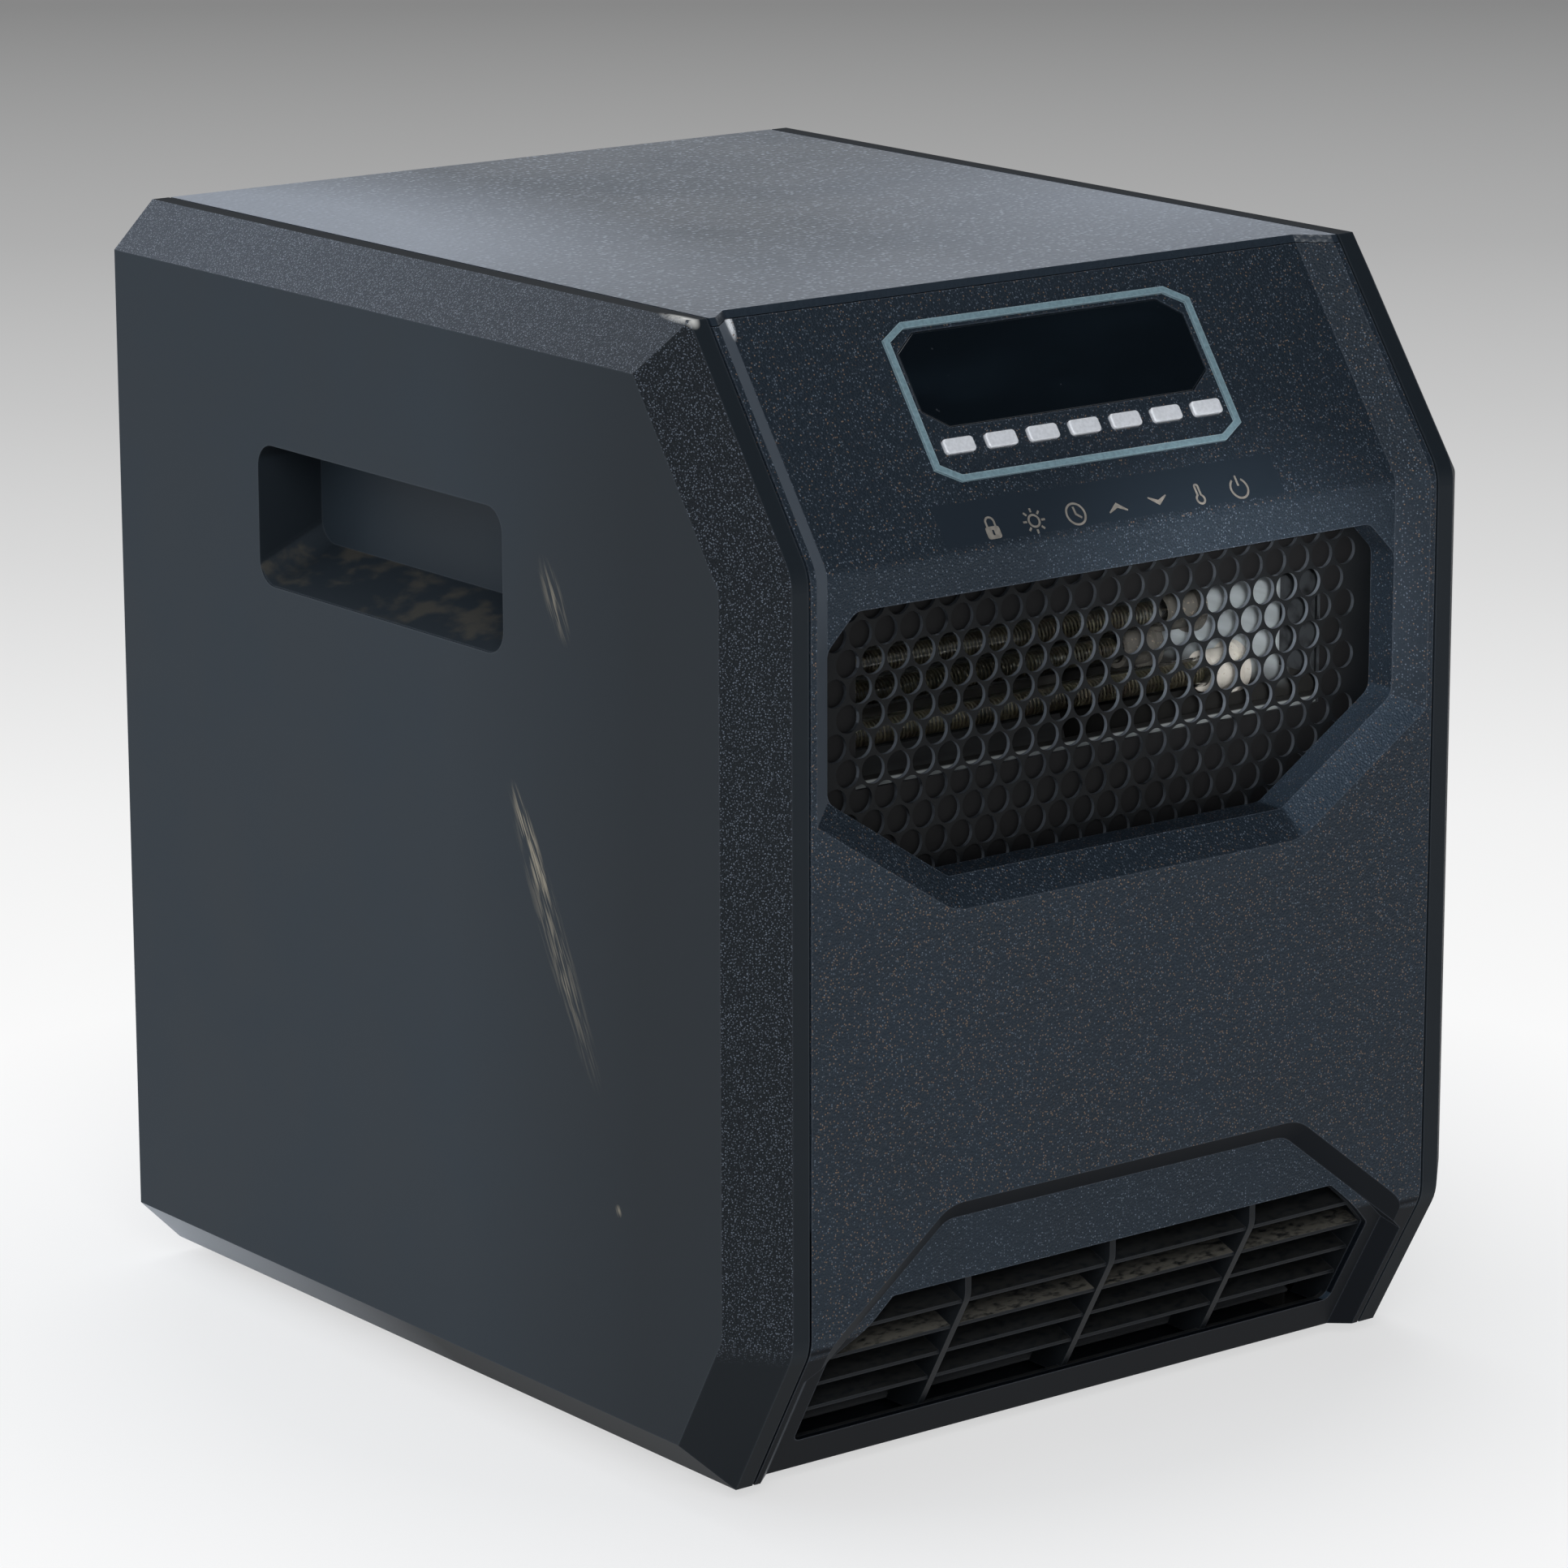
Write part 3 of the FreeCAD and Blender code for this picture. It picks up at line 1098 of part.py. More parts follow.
def front_duct():
    """Folded sheet: a bright lip under the window, down to the tongue, then forwards to the outlet."""
    low = OUTLET_TOP + LOUVRE_OVERLAP + METAL
    points = [(FRAME_BACK_Y, WINDOW_BOTTOM - METAL), (FRAME_BACK_Y + LIP_DEPTH, WINDOW_BOTTOM - METAL),
              (DUCT_LOW_DEPTH, WHEEL_HEIGHT + DUCT_LOW_RISE), tongue_tip(),
              (CHASSIS_FRONT, low), (LOUVRE_FACE + LOUVRE_FRAME / 2, low)]
    return bent_sheet(points, METAL, METAL_BEND, CHASSIS_X)


def scroll_housing():
    """Curved sheet whose radius grows round the back and the underside of the wheel to the outlet."""
    low = OUTLET_BOTTOM - 2 * METAL
    points = [(front_y(low, LOUVRE_FACE + LOUVRE_RECESS + RIB_DEPTH) + PANEL_GAP, low)]
    for i in range(SCROLL_STEPS, -1, -1):
        angle = math.radians(SCROLL_START - SCROLL_SWEEP * i / SCROLL_STEPS)
        reach = WHEEL_RADIUS + SCROLL_GAP + SCROLL_GROWTH * i / SCROLL_STEPS
        points.append((WHEEL_FROM_FRONT + reach * math.cos(angle), WHEEL_HEIGHT + reach * math.sin(angle)))
    points.append((REFLECTOR_Y, REFLECTOR_BOTTOM))
    return bent_sheet(points, METAL, SCROLL_BEND, CHASSIS_X)


# Quartz elements

def quartz_tubes():
    """Clear tubes whose ends sit in the sockets of the ceramic caps."""
    return [rod(TUBE_DIAMETER, (-TUBE_END_X, y, z), (TUBE_END_X, y, z)).cut(
        rod(TUBE_BORE, (-TUBE_END_X, y, z), (TUBE_END_X, y, z))) for y, z in tube_places()]


def ceramic_caps():
    """Flanged caps in the chassis plates, each with a socket for a tube's end."""
    caps = []
    for y, z in tube_places():
        cap = rod(CAP_DIAMETER, (CHASSIS_X - CAP_INSIDE, y, z), (CAP_END_X, y, z))
        flange = rod(CAP_FLANGE, (CHASSIS_X - CAP_FLANGE_THICKNESS, y, z), (CHASSIS_X, y, z))
        socket = rod(TUBE_DIAMETER + 2 * SEAT_CLEARANCE, (CHASSIS_X - CAP_INSIDE - 1, y, z), (TUBE_END_X, y, z))
        caps += both_sides(cap.fuse(flange).cut(socket))
    return caps


def element_terminals():
    """Pin at the outer end of each cap."""
    pins = []
    for y, z in tube_places():
        pins += both_sides(rod(TERMINAL_DIAMETER, (CAP_END_X, y, z), (CAP_END_X + TERMINAL_LENGTH, y, z)))
    return pins


def element_links():
    """Strips that join each lower tube's pins to the next upper tube's pins."""
    links = []
    places = tube_places()
    start = CAP_END_X + TERMINAL_LENGTH
    for (y1, z1), (y2, z2) in zip(places[::2], places[1::2]):
        length = math.hypot(y2 - y1, z2 - z1)
        strip = block((0, -LINK_WIDTH / 2, -LINK_WIDTH / 2),
                      (LINK_THICKNESS, length + LINK_WIDTH / 2, LINK_WIDTH / 2))
        strip.rotate(V(0, 0, 0), V(1, 0, 0), math.degrees(math.atan2(z2 - z1, y2 - y1)))
        strip.translate(V(start, y1, z1))
        links += both_sides(strip)
    return links


def biarc(start, start_way, end, end_way):
    """Two tangent arcs, or a line, from one point and direction to another."""
    chord = end - start
    both = start_way + end_way
    spread = 2 * (1 - start_way.dot(end_way))
    if spread < 1e-9:
        return [Part.makeLine(start, end)]
    lead = (-chord.dot(both) + math.sqrt(chord.dot(both) ** 2 + spread * chord.dot(chord))) / spread
    first = start + start_way * lead
    second = end - end_way * lead
    joint = (first + second) * 0.5
    return [tangent_arc(start, first, joint), tangent_arc(joint, second, end)]


def tangent_arc(start, corner, end):
    """Arc that leaves start towards a corner and reaches end from it."""
    middle = (start + end) * 0.5
    side = corner - start
    half_cosine = (middle - start).Length / side.Length
    half_sine = math.sqrt(1 - half_cosine ** 2)
    sag = side.Length * half_cosine / half_sine * (1 - half_cosine)
    top = middle + (corner - middle).normalize() * sag
    return Part.Arc(start, top, end).toShape()


def coil_path(y, z):
    """Stations of a heating coil: straight lead, run-in, helix in quarter turns, run-out, lead."""
    end = TUBE_END_X - COIL_LEAD
    helix_end = end - COIL_RUN_IN
    pitch = 2 * helix_end / COIL_TURNS
    slope = V(pitch, 0, 0)
    axis = V(1, 0, 0)
    stations = [(V(-TUBE_END_X, y + COIL_RADIUS, z), axis), (V(-end, y + COIL_RADIUS, z), axis)]
    for quarter in range(1, 4 * COIL_TURNS):
        angle = quarter * math.pi / 2
        way = slope + V(0, -math.sin(angle), math.cos(angle)) * (2 * math.pi * COIL_RADIUS)
        place = V(-helix_end + pitch * quarter / 4, y + COIL_RADIUS * math.cos(angle),
                  z + COIL_RADIUS * math.sin(angle))
        stations.append((place, way.normalize()))
    stations.append((V(end, y + COIL_RADIUS, z), axis))
    stations.append((V(TUBE_END_X, y + COIL_RADIUS, z), axis))
    return stations


def heating_coil(y, z):
    """One unbroken wire wound inside a tube, its leads square to the caps."""
    stations = coil_path(y, z)
    edges = []
    for (a, a_way), (b, b_way) in zip(stations, stations[1:]):
        edges += biarc(a, a_way, b, b_way)
    section = Part.Wire(Part.makeCircle(COIL_WIRE / 2, stations[0][0], V(1, 0, 0)))
    shell = Part.BRepOffsetAPI.MakePipeShell(Part.Wire(edges))
    shell.add(section)
    shell.build()
    shell.makeSolid()
    return shell.shape()


def coil_gap():
    """Least gap between neighbouring turns of a coil, measured on points a turn apart."""
    places = [place for place, way in coil_path(0, 0)[2:-2]]
    return min((b - a).Length for a, b in zip(places, places[4:])) - COIL_WIRE


# Crossflow blower

def wheel_axis(x):
    """Point on the wheel's axis."""
    return (x, WHEEL_FROM_FRONT, WHEEL_HEIGHT)


def crossflow_wheel():
    """Wheel of slanted blades between discs, with a hub at each end."""
    half = CHASSIS_X - WHEEL_END_SPACE
    discs = [rod(WHEEL_DIAMETER, wheel_axis(x - WHEEL_DISC / 2), wheel_axis(x + WHEEL_DISC / 2))
             for x in (-half + WHEEL_DISC / 2, 0, half - WHEEL_DISC / 2)]
    hubs = both_sides(rod(HUB_DIAMETER, wheel_axis(half - HUB_LENGTH), wheel_axis(half)))
    blades = []
    for i in range(BLADE_COUNT):
        blade = block((-half, -BLADE_DEPTH / 2, -BLADE_THICKNESS / 2), (half, BLADE_DEPTH / 2, BLADE_THICKNESS / 2))
        blade.rotate(V(0, 0, 0), V(1, 0, 0), BLADE_ANGLE)
        blade.translate(V(0, WHEEL_RADIUS - BLADE_DEPTH / 2 - BLADE_THICKNESS, 0))
        blade.rotate(V(0, 0, 0), V(1, 0, 0), 360.0 * i / BLADE_COUNT)
        blade.translate(V(*wheel_axis(0)))
        blades.append(blade)
    bore = rod(SHAFT_DIAMETER, wheel_axis(-half - 1), wheel_axis(half + 1))
    return discs[0].fuse(discs[1:] + hubs + blades).cut(bore)


def fan_shaft():
    """Shaft from the bush in the left plate through the wheel into the motor."""
    left = -CHASSIS_X - METAL - BUSH_FLANGE_THICKNESS
    right = CHASSIS_X + METAL + MOTOR_LENGTH
    return rod(SHAFT_DIAMETER, wheel_axis(left), wheel_axis(right))


def fan_bush():
    """Flanged plain bearing in the left chassis plate."""
    outside = -CHASSIS_X - METAL
    sleeve = rod(BUSH_DIAMETER, wheel_axis(outside), wheel_axis(outside + BUSH_LENGTH))
    flange = rod(BUSH_FLANGE, wheel_axis(outside - BUSH_FLANGE_THICKNESS), wheel_axis(outside))
    bore = rod(SHAFT_DIAMETER + 2 * SHAFT_CLEARANCE, wheel_axis(outside - FOOT_HEIGHT),
               wheel_axis(outside + BUSH_LENGTH + 1))
    return sleeve.fuse(flange).cut(bore)


def fan_motor():
    """Motor on the right chassis plate: flange, spigot in the plate's hole, body, bore."""
    face = CHASSIS_X + METAL
    flange = block((face, WHEEL_FROM_FRONT - MOTOR_FLANGE / 2, WHEEL_HEIGHT - MOTOR_FLANGE_HEIGHT / 2),
                   (face + MOTOR_FLANGE_THICKNESS, WHEEL_FROM_FRONT + MOTOR_FLANGE / 2,
                    WHEEL_HEIGHT + MOTOR_FLANGE_HEIGHT / 2))
    body = rod(MOTOR_DIAMETER, wheel_axis(face + MOTOR_FLANGE_THICKNESS / 2), wheel_axis(face + MOTOR_LENGTH))
    spigot = rod(BUSH_DIAMETER, wheel_axis(CHASSIS_X), wheel_axis(face + MOTOR_FLANGE_THICKNESS))
    bore = rod(SHAFT_DIAMETER + 2 * SHAFT_CLEARANCE, wheel_axis(CHASSIS_X - 1), wheel_axis(face + MOTOR_LENGTH + 1))
    return flange.fuse([body, spigot]).cut([bore] + motor_screws(SCREW_CLEARANCE))


# Back fittings

def filter_cassette():
    """Frame with slats and a mullion that fills the intake well, with a finger pull at its top."""
    width = INTAKE_WIDTH - 2 * CASSETTE_CLEARANCE
    low = INTAKE_BOTTOM + CASSETTE_CLEARANCE
    high = INTAKE_TOP - CASSETTE_CLEARANCE
    inner_low = low + CASSETTE_BORDER
    inner_high = high - CASSETTE_BORDER
    half = width / 2 - CASSETTE_BORDER
    frame = block((-width / 2, INTAKE_FLOOR_Y, low), (width / 2, BODY_DEPTH, high))
    frame = frame.cut(block((-half, INTAKE_FLOOR_Y - 1, inner_low), (half, BODY_DEPTH + 1, inner_high)))
    front = BODY_DEPTH - CASSETTE_SLAT_DEPTH
    rows = int((inner_high - inner_low) / CASSETTE_SLAT_PITCH)
    step = (inner_high - inner_low) / rows
    slats = [block((-half, front, inner_low + step * i - CASSETTE_SLAT / 2),
                   (half, BODY_DEPTH, inner_low + step * i + CASSETTE_SLAT / 2)) for i in range(1, rows)]
    mullion = block((-CASSETTE_MULLION / 2, front, inner_low), (CASSETTE_MULLION / 2, BODY_DEPTH, inner_high))
    pull = block((-PULL_WIDTH / 2, BODY_DEPTH - PULL_DEPTH, high - CASSETTE_BORDER / 2),
                 (PULL_WIDTH / 2, BODY_DEPTH + 1, high + 1))
    return frame.fuse(slats + [mullion]).cut(pull)


def filter_mesh():
    """Flat filter held inside the cassette's border against the back of its slats."""
    half = INTAKE_WIDTH / 2 - CASSETTE_CLEARANCE - CASSETTE_BORDER
    edge = CASSETTE_CLEARANCE + CASSETTE_BORDER
    back = BODY_DEPTH - CASSETTE_SLAT_DEPTH
    return block((-half, back - MESH_THICKNESS, INTAKE_BOTTOM + edge), (half, back, INTAKE_TOP - edge))


def rocker_box(grow, near, far):
    """Box about the rocker's middle, between two depths behind the service well's floor."""
    return block((-SERVICE_OFFSET - ROCKER_WIDTH / 2 - grow, SERVICE_FLOOR_Y - far,
                  SERVICE_MIDDLE - ROCKER_LENGTH / 2 - grow),
                 (-SERVICE_OFFSET + ROCKER_WIDTH / 2 + grow, SERVICE_FLOOR_Y - near,
                  SERVICE_MIDDLE + ROCKER_LENGTH / 2 + grow))


def rocker_hole():
    """Cut-out in the service well's floor for the switch body."""
    return rocker_box(ROCKER_WALL + SEAT_CLEARANCE, -1, 2 * WELL_WALL)


def rocker_pin(diameter):
    """Pin across the switch body on which the rocker turns."""
    half = ROCKER_WIDTH / 2 + ROCKER_WALL - ROCKER_CLEARANCE
    y = SERVICE_FLOOR_Y + ROCKER_BEZEL - ROCKER_PIN
    return rod(diameter, (-SERVICE_OFFSET - half, y, SERVICE_MIDDLE), (-SERVICE_OFFSET + half, y, SERVICE_MIDDLE))


def rocker_housing():
    """Switch body behind the service well, with a bezel on its floor and the rocker's pin."""
    body = rocker_box(ROCKER_WALL, 0, ROCKER_BODY_DEPTH)
    bezel = rocker_box(2 * ROCKER_WALL, -ROCKER_BEZEL, 0)
    cavity = rocker_box(ROCKER_CLEARANCE, -ROCKER_BEZEL - 1, ROCKER_BODY_DEPTH - ROCKER_WALL)
    return body.fuse(bezel).cut(cavity).fuse(rocker_pin(ROCKER_PIN))


def rocker():
    """Two-sided rocker, shown pressed at its upper end."""
    pivot_y = SERVICE_FLOOR_Y + ROCKER_BEZEL - ROCKER_PIN
    half = ROCKER_LENGTH / 2 - ROCKER_CLEARANCE
    throw = math.tan(math.radians(ROCKER_THROW / 2))
    valley = ROCKER_PIN
    points = [(valley, 0), (valley + half * throw, half), (-ROCKER_PIN / 2, half - ROCKER_CLEARANCE),
              (-ROCKER_PIN, 0), (-ROCKER_PIN / 2, ROCKER_CLEARANCE - half), (valley + half * throw, -half)]
    points = [(pivot_y + y, SERVICE_MIDDLE + z) for y, z in points]
    width = ROCKER_WIDTH - ROCKER_CLEARANCE
    body = prism(points[::-1], plain(points), on_x(-SERVICE_OFFSET - width / 2), V(width, 0, 0))
    body = body.cut(rocker_pin(ROCKER_PIN + 2 * ROCKER_PIN_CLEARANCE))
    body.rotate(V(-SERVICE_OFFSET, pivot_y, SERVICE_MIDDLE), V(1, 0, 0), ROCKER_THROW / 2)
    return body


def gland_neck(grow):
    """Neck of the cord inlet through the service well's floor."""
    return rod(GLAND_NECK + 2 * grow, (SERVICE_OFFSET, SERVICE_FLOOR_Y - GLAND_LENGTH, SERVICE_MIDDLE),
               (SERVICE_OFFSET, SERVICE_FLOOR_Y + 1, SERVICE_MIDDLE))


def cord_gland():
    """Flanged bushing where the supply cord would enter."""
    flange = rod(GLAND_DIAMETER, (SERVICE_OFFSET, SERVICE_FLOOR_Y, SERVICE_MIDDLE),
                 (SERVICE_OFFSET, SERVICE_FLOOR_Y + GLAND_FLANGE, SERVICE_MIDDLE))
    bore = rod(GLAND_BORE, (SERVICE_OFFSET, SERVICE_FLOOR_Y - GLAND_LENGTH - 1, SERVICE_MIDDLE),
               (SERVICE_OFFSET, SERVICE_FLOOR_Y + GLAND_FLANGE + 1, SERVICE_MIDDLE))
    return flange.fuse(gland_neck(0)).cut(bore)


# Electrics

def power_board_corners():
    """Middles (x, y) of the power board's standoffs."""
    return [(POWER_BOARD_X + a, POWER_BOARD_Y + b)
            for a in (STANDOFF_INSET, POWER_BOARD_WIDTH - STANDOFF_INSET)
            for b in (STANDOFF_INSET, POWER_BOARD_DEPTH - STANDOFF_INSET)]


def power_board():
    """Circuit board on the base pan's standoffs."""
    return block((POWER_BOARD_X, POWER_BOARD_Y, POWER_BOARD_Z),
                 (POWER_BOARD_X + POWER_BOARD_WIDTH, POWER_BOARD_Y + POWER_BOARD_DEPTH,
                  POWER_BOARD_Z + BOARD_THICKNESS))


def relays():
    """Row of relays along the front of the power board."""
    top = POWER_BOARD_Z + BOARD_THICKNESS
    front = POWER_BOARD_Y + 2 * STANDOFF_INSET
    boxes = []
    for i in range(RELAY_COUNT):
        x = POWER_BOARD_X + STANDOFF_INSET + RELAY_PITCH * i
        boxes.append(block((x, front, top), (x + RELAY_WIDTH, front + RELAY_LENGTH, top + RELAY_HEIGHT)))
    return boxes


def capacitor():
    """Round capacitor beside the relays."""
    x = POWER_BOARD_X + STANDOFF_INSET + RELAY_PITCH * RELAY_COUNT + CAPACITOR_DIAMETER / 2
    y = POWER_BOARD_Y + 2 * STANDOFF_INSET + CAPACITOR_DIAMETER / 2
    top = POWER_BOARD_Z + BOARD_THICKNESS
    return rod(CAPACITOR_DIAMETER, (x, y, top), (x, y, top + CAPACITOR_HEIGHT))


def terminal_block():
    """Screw terminals along the back of the power board."""
    top = POWER_BOARD_Z + BOARD_THICKNESS
    x = POWER_BOARD_X + (POWER_BOARD_WIDTH - TERMINAL_BLOCK_WIDTH) / 2
    y = POWER_BOARD_Y + POWER_BOARD_DEPTH - TERMINAL_BLOCK_DEPTH - STANDOFF_INSET
    body = block((x, y, top), (x + TERMINAL_BLOCK_WIDTH, y + TERMINAL_BLOCK_DEPTH, top + TERMINAL_BLOCK_HEIGHT))
    way = TERMINAL_BLOCK_WIDTH / TERMINAL_BLOCK_WAYS
    wells = [rod(TERMINAL_DIAMETER, (x + way * (i + 0.5), y + TERMINAL_BLOCK_DEPTH / 2, top + TERMINAL_BLOCK_HEIGHT / 2),
                 (x + way * (i + 0.5), y + TERMINAL_BLOCK_DEPTH / 2, top + TERMINAL_BLOCK_HEIGHT + 1))
             for i in range(TERMINAL_BLOCK_WAYS)]
    return body.cut(wells)


def overheat_thermostat():
    """Disc thermostat on a strap on the roof reflector."""
    y = TUBE_FIRST_DEPTH + TUBE_PITCH / 2
    strap = block((-THERMOSTAT_PLATE_LENGTH / 2, y - THERMOSTAT_PLATE_WIDTH / 2, ROOF_Z),
                  (THERMOSTAT_PLATE_LENGTH / 2, y + THERMOSTAT_PLATE_WIDTH / 2, ROOF_Z + METAL))
    disc = rod(THERMOSTAT_DIAMETER, (0, y, ROOF_Z), (0, y, ROOF_Z + THERMOSTAT_HEIGHT))
    return strap.fuse(disc)


def thermal_fuse():
    """Fuse lying on the roof reflector beside the thermostat."""
    x = THERMOSTAT_PLATE_LENGTH
    y = TUBE_FIRST_DEPTH + TUBE_PITCH / 2
    fuse = block((x - FUSE_DIAMETER / 2, y - FUSE_LENGTH / 2, ROOF_Z),
                 (x + FUSE_DIAMETER / 2, y + FUSE_LENGTH / 2, ROOF_Z + FUSE_DIAMETER))
    return fuse.makeFillet(FUSE_DIAMETER / 4, [edge for edge in fuse.Edges if edge.BoundBox.ZMin > ROOF_Z + 1])


def tip_over_switch():
    """Sealed tilt switch on the base pan."""
    y = BODY_DEPTH - POWER_BOARD_BACK - TIP_SWITCH_DEPTH
    return block((TIP_SWITCH_SIDE, y, PANEL_WALL),
                 (TIP_SWITCH_SIDE + TIP_SWITCH_WIDTH, y + TIP_SWITCH_DEPTH, PANEL_WALL + TIP_SWITCH_HEIGHT))


def room_sensor():
    """Small temperature probe on the inside of the back panel, beside the intake."""
    x = INTAKE_WIDTH / 2 + INTAKE_RIM
    z = INTAKE_BOTTOM + INTAKE_HEIGHT / 2
    return rod(SENSOR_DIAMETER, (x, BACK_Y - SENSOR_LENGTH, z), (x, BACK_Y, z))


def main():
    """Makes and writes every node."""
    os.makedirs("parts", exist_ok=True)
    right, left = both_sides(side_shell())
    save("right_side_shell", right)
    save("left_side_shell", left)
    save("front_panel", front_panel())
    save("top_panel", top_panel())
    save("base_pan", base_pan())
    save("back_panel", back_panel())
    save("rubber_feet", *rubber_feet())
    save("back_screws", *back_screws())
    save("base_screws", *base_screws())
    save("perforated_grille", perforated_grille())
    save("window_frame", window_frame())
    save("frame_screws", *frame_screws())
    save("bezel_ring", bezel_ring())
    save("display_lens", display_lens())
    for name, x in zip(BUTTON_NAMES, button_places()):
        save(name + "_button", push_button(x))
    save("tact_switches", *tact_switches())
    save("control_board", control_board())
    save("board_screws", *board_screws())
    save("display_module", display_module())
    save("outlet_louvre", outlet_louvre())
    plate_right, plate_left = both_sides(chassis_plate())
    save("right_chassis_plate", plate_right.cut(motor_screws(SCREW_CLEARANCE)))
    save("left_chassis_plate", plate_left)
    save("chassis_screws", *chassis_screws())
    save("roof_reflector", roof_reflector())
    save("rear_reflector", rear_reflector())
    save("front_duct", front_duct())
    save("scroll_housing", scroll_housing())
    save("quartz_tubes", *quartz_tubes())
    save("ceramic_caps", *ceramic_caps())
    save("element_terminals", *element_terminals())
    save("element_links", *element_links())
    save("heating_coils", *[heating_coil(y, z) for y, z in tube_places()])
    save("crossflow_wheel", crossflow_wheel())
    save("fan_shaft", fan_shaft())
    save("fan_bush", fan_bush())
    save("fan_motor", fan_motor())
    save("motor_screws", *motor_screws())
    save("filter_cassette", filter_cassette())
    save("filter_mesh", filter_mesh())
    save("rocker_housing", rocker_housing())
    save("rocker", rocker())
    save("cord_gland", cord_gland())
    save("power_board", power_board())
    save("relays", *relays())
    save("capacitor", capacitor())
    save("terminal_block", terminal_block())
    save("overheat_thermostat", overheat_thermostat())
    save("thermal_fuse", thermal_fuse())
    save("tip_over_switch", tip_over_switch())
    save("room_sensor", room_sensor())
    print("least gap between coil turns %.2f mm" % coil_gap())


main()
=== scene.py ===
"""Looks of a cabinet heater with quartz tubes: finishes, symbols, heating coils, filter net and stage.

Lengths are metres in the part's own frame: +X to the heater's right, -Y out of its front, +Z up.
"""
import json
import math

import bpy
import numpy as np
from mathutils import Euler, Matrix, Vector

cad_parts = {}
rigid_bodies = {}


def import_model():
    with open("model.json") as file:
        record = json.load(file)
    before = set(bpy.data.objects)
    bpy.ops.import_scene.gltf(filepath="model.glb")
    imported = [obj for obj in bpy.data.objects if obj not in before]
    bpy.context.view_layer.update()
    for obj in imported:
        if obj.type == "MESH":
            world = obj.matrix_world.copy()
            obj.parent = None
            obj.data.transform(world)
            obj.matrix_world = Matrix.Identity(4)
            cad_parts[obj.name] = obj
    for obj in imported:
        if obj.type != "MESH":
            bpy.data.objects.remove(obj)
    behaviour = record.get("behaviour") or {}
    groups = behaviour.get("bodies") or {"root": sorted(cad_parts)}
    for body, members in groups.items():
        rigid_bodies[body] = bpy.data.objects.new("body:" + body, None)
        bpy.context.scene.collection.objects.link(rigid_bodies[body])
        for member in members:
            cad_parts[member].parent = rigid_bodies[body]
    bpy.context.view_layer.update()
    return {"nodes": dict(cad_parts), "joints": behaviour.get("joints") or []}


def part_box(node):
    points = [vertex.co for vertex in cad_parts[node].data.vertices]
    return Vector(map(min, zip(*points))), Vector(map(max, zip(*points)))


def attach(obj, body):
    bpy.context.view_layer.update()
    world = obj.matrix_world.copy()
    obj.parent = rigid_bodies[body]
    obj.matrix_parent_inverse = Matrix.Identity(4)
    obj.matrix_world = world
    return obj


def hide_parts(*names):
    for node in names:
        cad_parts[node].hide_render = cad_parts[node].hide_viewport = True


bl_info = {
    "name": "Quartz cabinet heater",
    "version": (1, 0, 0),
    "blender": (4, 5, 0),
    "location": "View3D > Sidebar > Heater",
    "description": "Finishes, printed symbols, heating coils, filter net and stage of a cabinet heater",
    "category": "Object",
}

for left_over in list(bpy.data.objects):
    bpy.data.objects.remove(left_over)
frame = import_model()

MM = 0.001
SYMBOLS = ("lock", "light", "timer", "up", "down", "temperature", "power")
PRESS = next(joint["axis"] for joint in frame["joints"] if joint["name"] == "lock_press")
SLOPE_LEAN = math.atan2(-PRESS[2], PRESS[1])
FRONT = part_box("front_panel")[0].y
UPPER_BEND = 0.329
BEND_RADIUS = 0.018
SUNK_DEPTH = 0.0075
TUBE_RADIUS = 0.0055
TUBE_WALL = 0.0011  # with the play round the coil
FIRST_CAP_BACK = -0.096
AWAY = (0.6096, 0.7927, 0)  # along the floor, away from the camera
# The finest pattern that shows; paint flake, orange peel and pores are really about a third of it.
FINE = 0.0012
SKIRT_TOP = 0.062  # of the sides, and of the foot of the front
ARCH_TOP = 0.105
SECOND_SLAT = 0.0545  # of the air outlet
GRIP_FLOOR = 0.295
GRIP_FRONT = -0.06
GRILLE_TOP = 0.31
TOP_LIP = 0.404  # of the sides, along the top panel
# Lower and upper edge of the smooth band with the symbols, and half its width.
BAND_BOTTOM = 0.328
BAND_TOP = 0.3405
BAND_HALF = 0.075
CHIP = (-0.1458, -0.1335, 0.4058)
# Where the sunk area's left bevel has a near-white painted highlight.
BEVEL_HIGHLIGHT_SPOT = (-0.1265, -0.1305, 0.4025)
# Rubbed places of the left side: middle, reach along Y and Z, and how strong they are.
RUBS = (
    ((-0.164, -0.083, 0.305), (0.006, 0.017), 0.4),
    ((-0.164, -0.069, 0.214), (0.005, 0.027), 1.2),
    ((-0.164, -0.081, 0.187), (0.008, 0.058), 0.35),
    ((-0.164, -0.086, 0.174), (0.003, 0.014), 0.6),
    ((-0.164, -0.117, 0.098), (0.0025, 0.0025), 0.45),
)
RUB_LEAN = -0.47
# Thick dust and painted sheen on the top: middle, reach along X and Y, and how strong it is.
DUST_AND_SHEEN_PATCHES = (
    ((-0.15, 0.12, 0.406), (0.13, 0.24), 1.6),
    ((0.14, -0.04, 0.406), (0.14, 0.17), 0.8),
    ((0.0, -0.12, 0.406), (0.24, 0.12), 0.45),
)
# Within these the cut rims of the grille get a stronger painted highlight.
HIGHLIGHT_ROWS = (0.208, 0.248, 0.296)  # width, and the heights between which the grille has the tubes behind it
# Painted shade inside: the axis, where the metal keeps its own colour, and where it is fully darkened.
PLATE_SHADE = (("Z", 0.252, 0.242), ("Y", -0.128, -0.136))
DUCT_SHADE = (("Z", 0.246, 0.24), ("Y", -0.163, -0.1615))
FLAG = (0.585, -0.483, 0.65)  # from the heater towards a dark screen above and to the right of its front


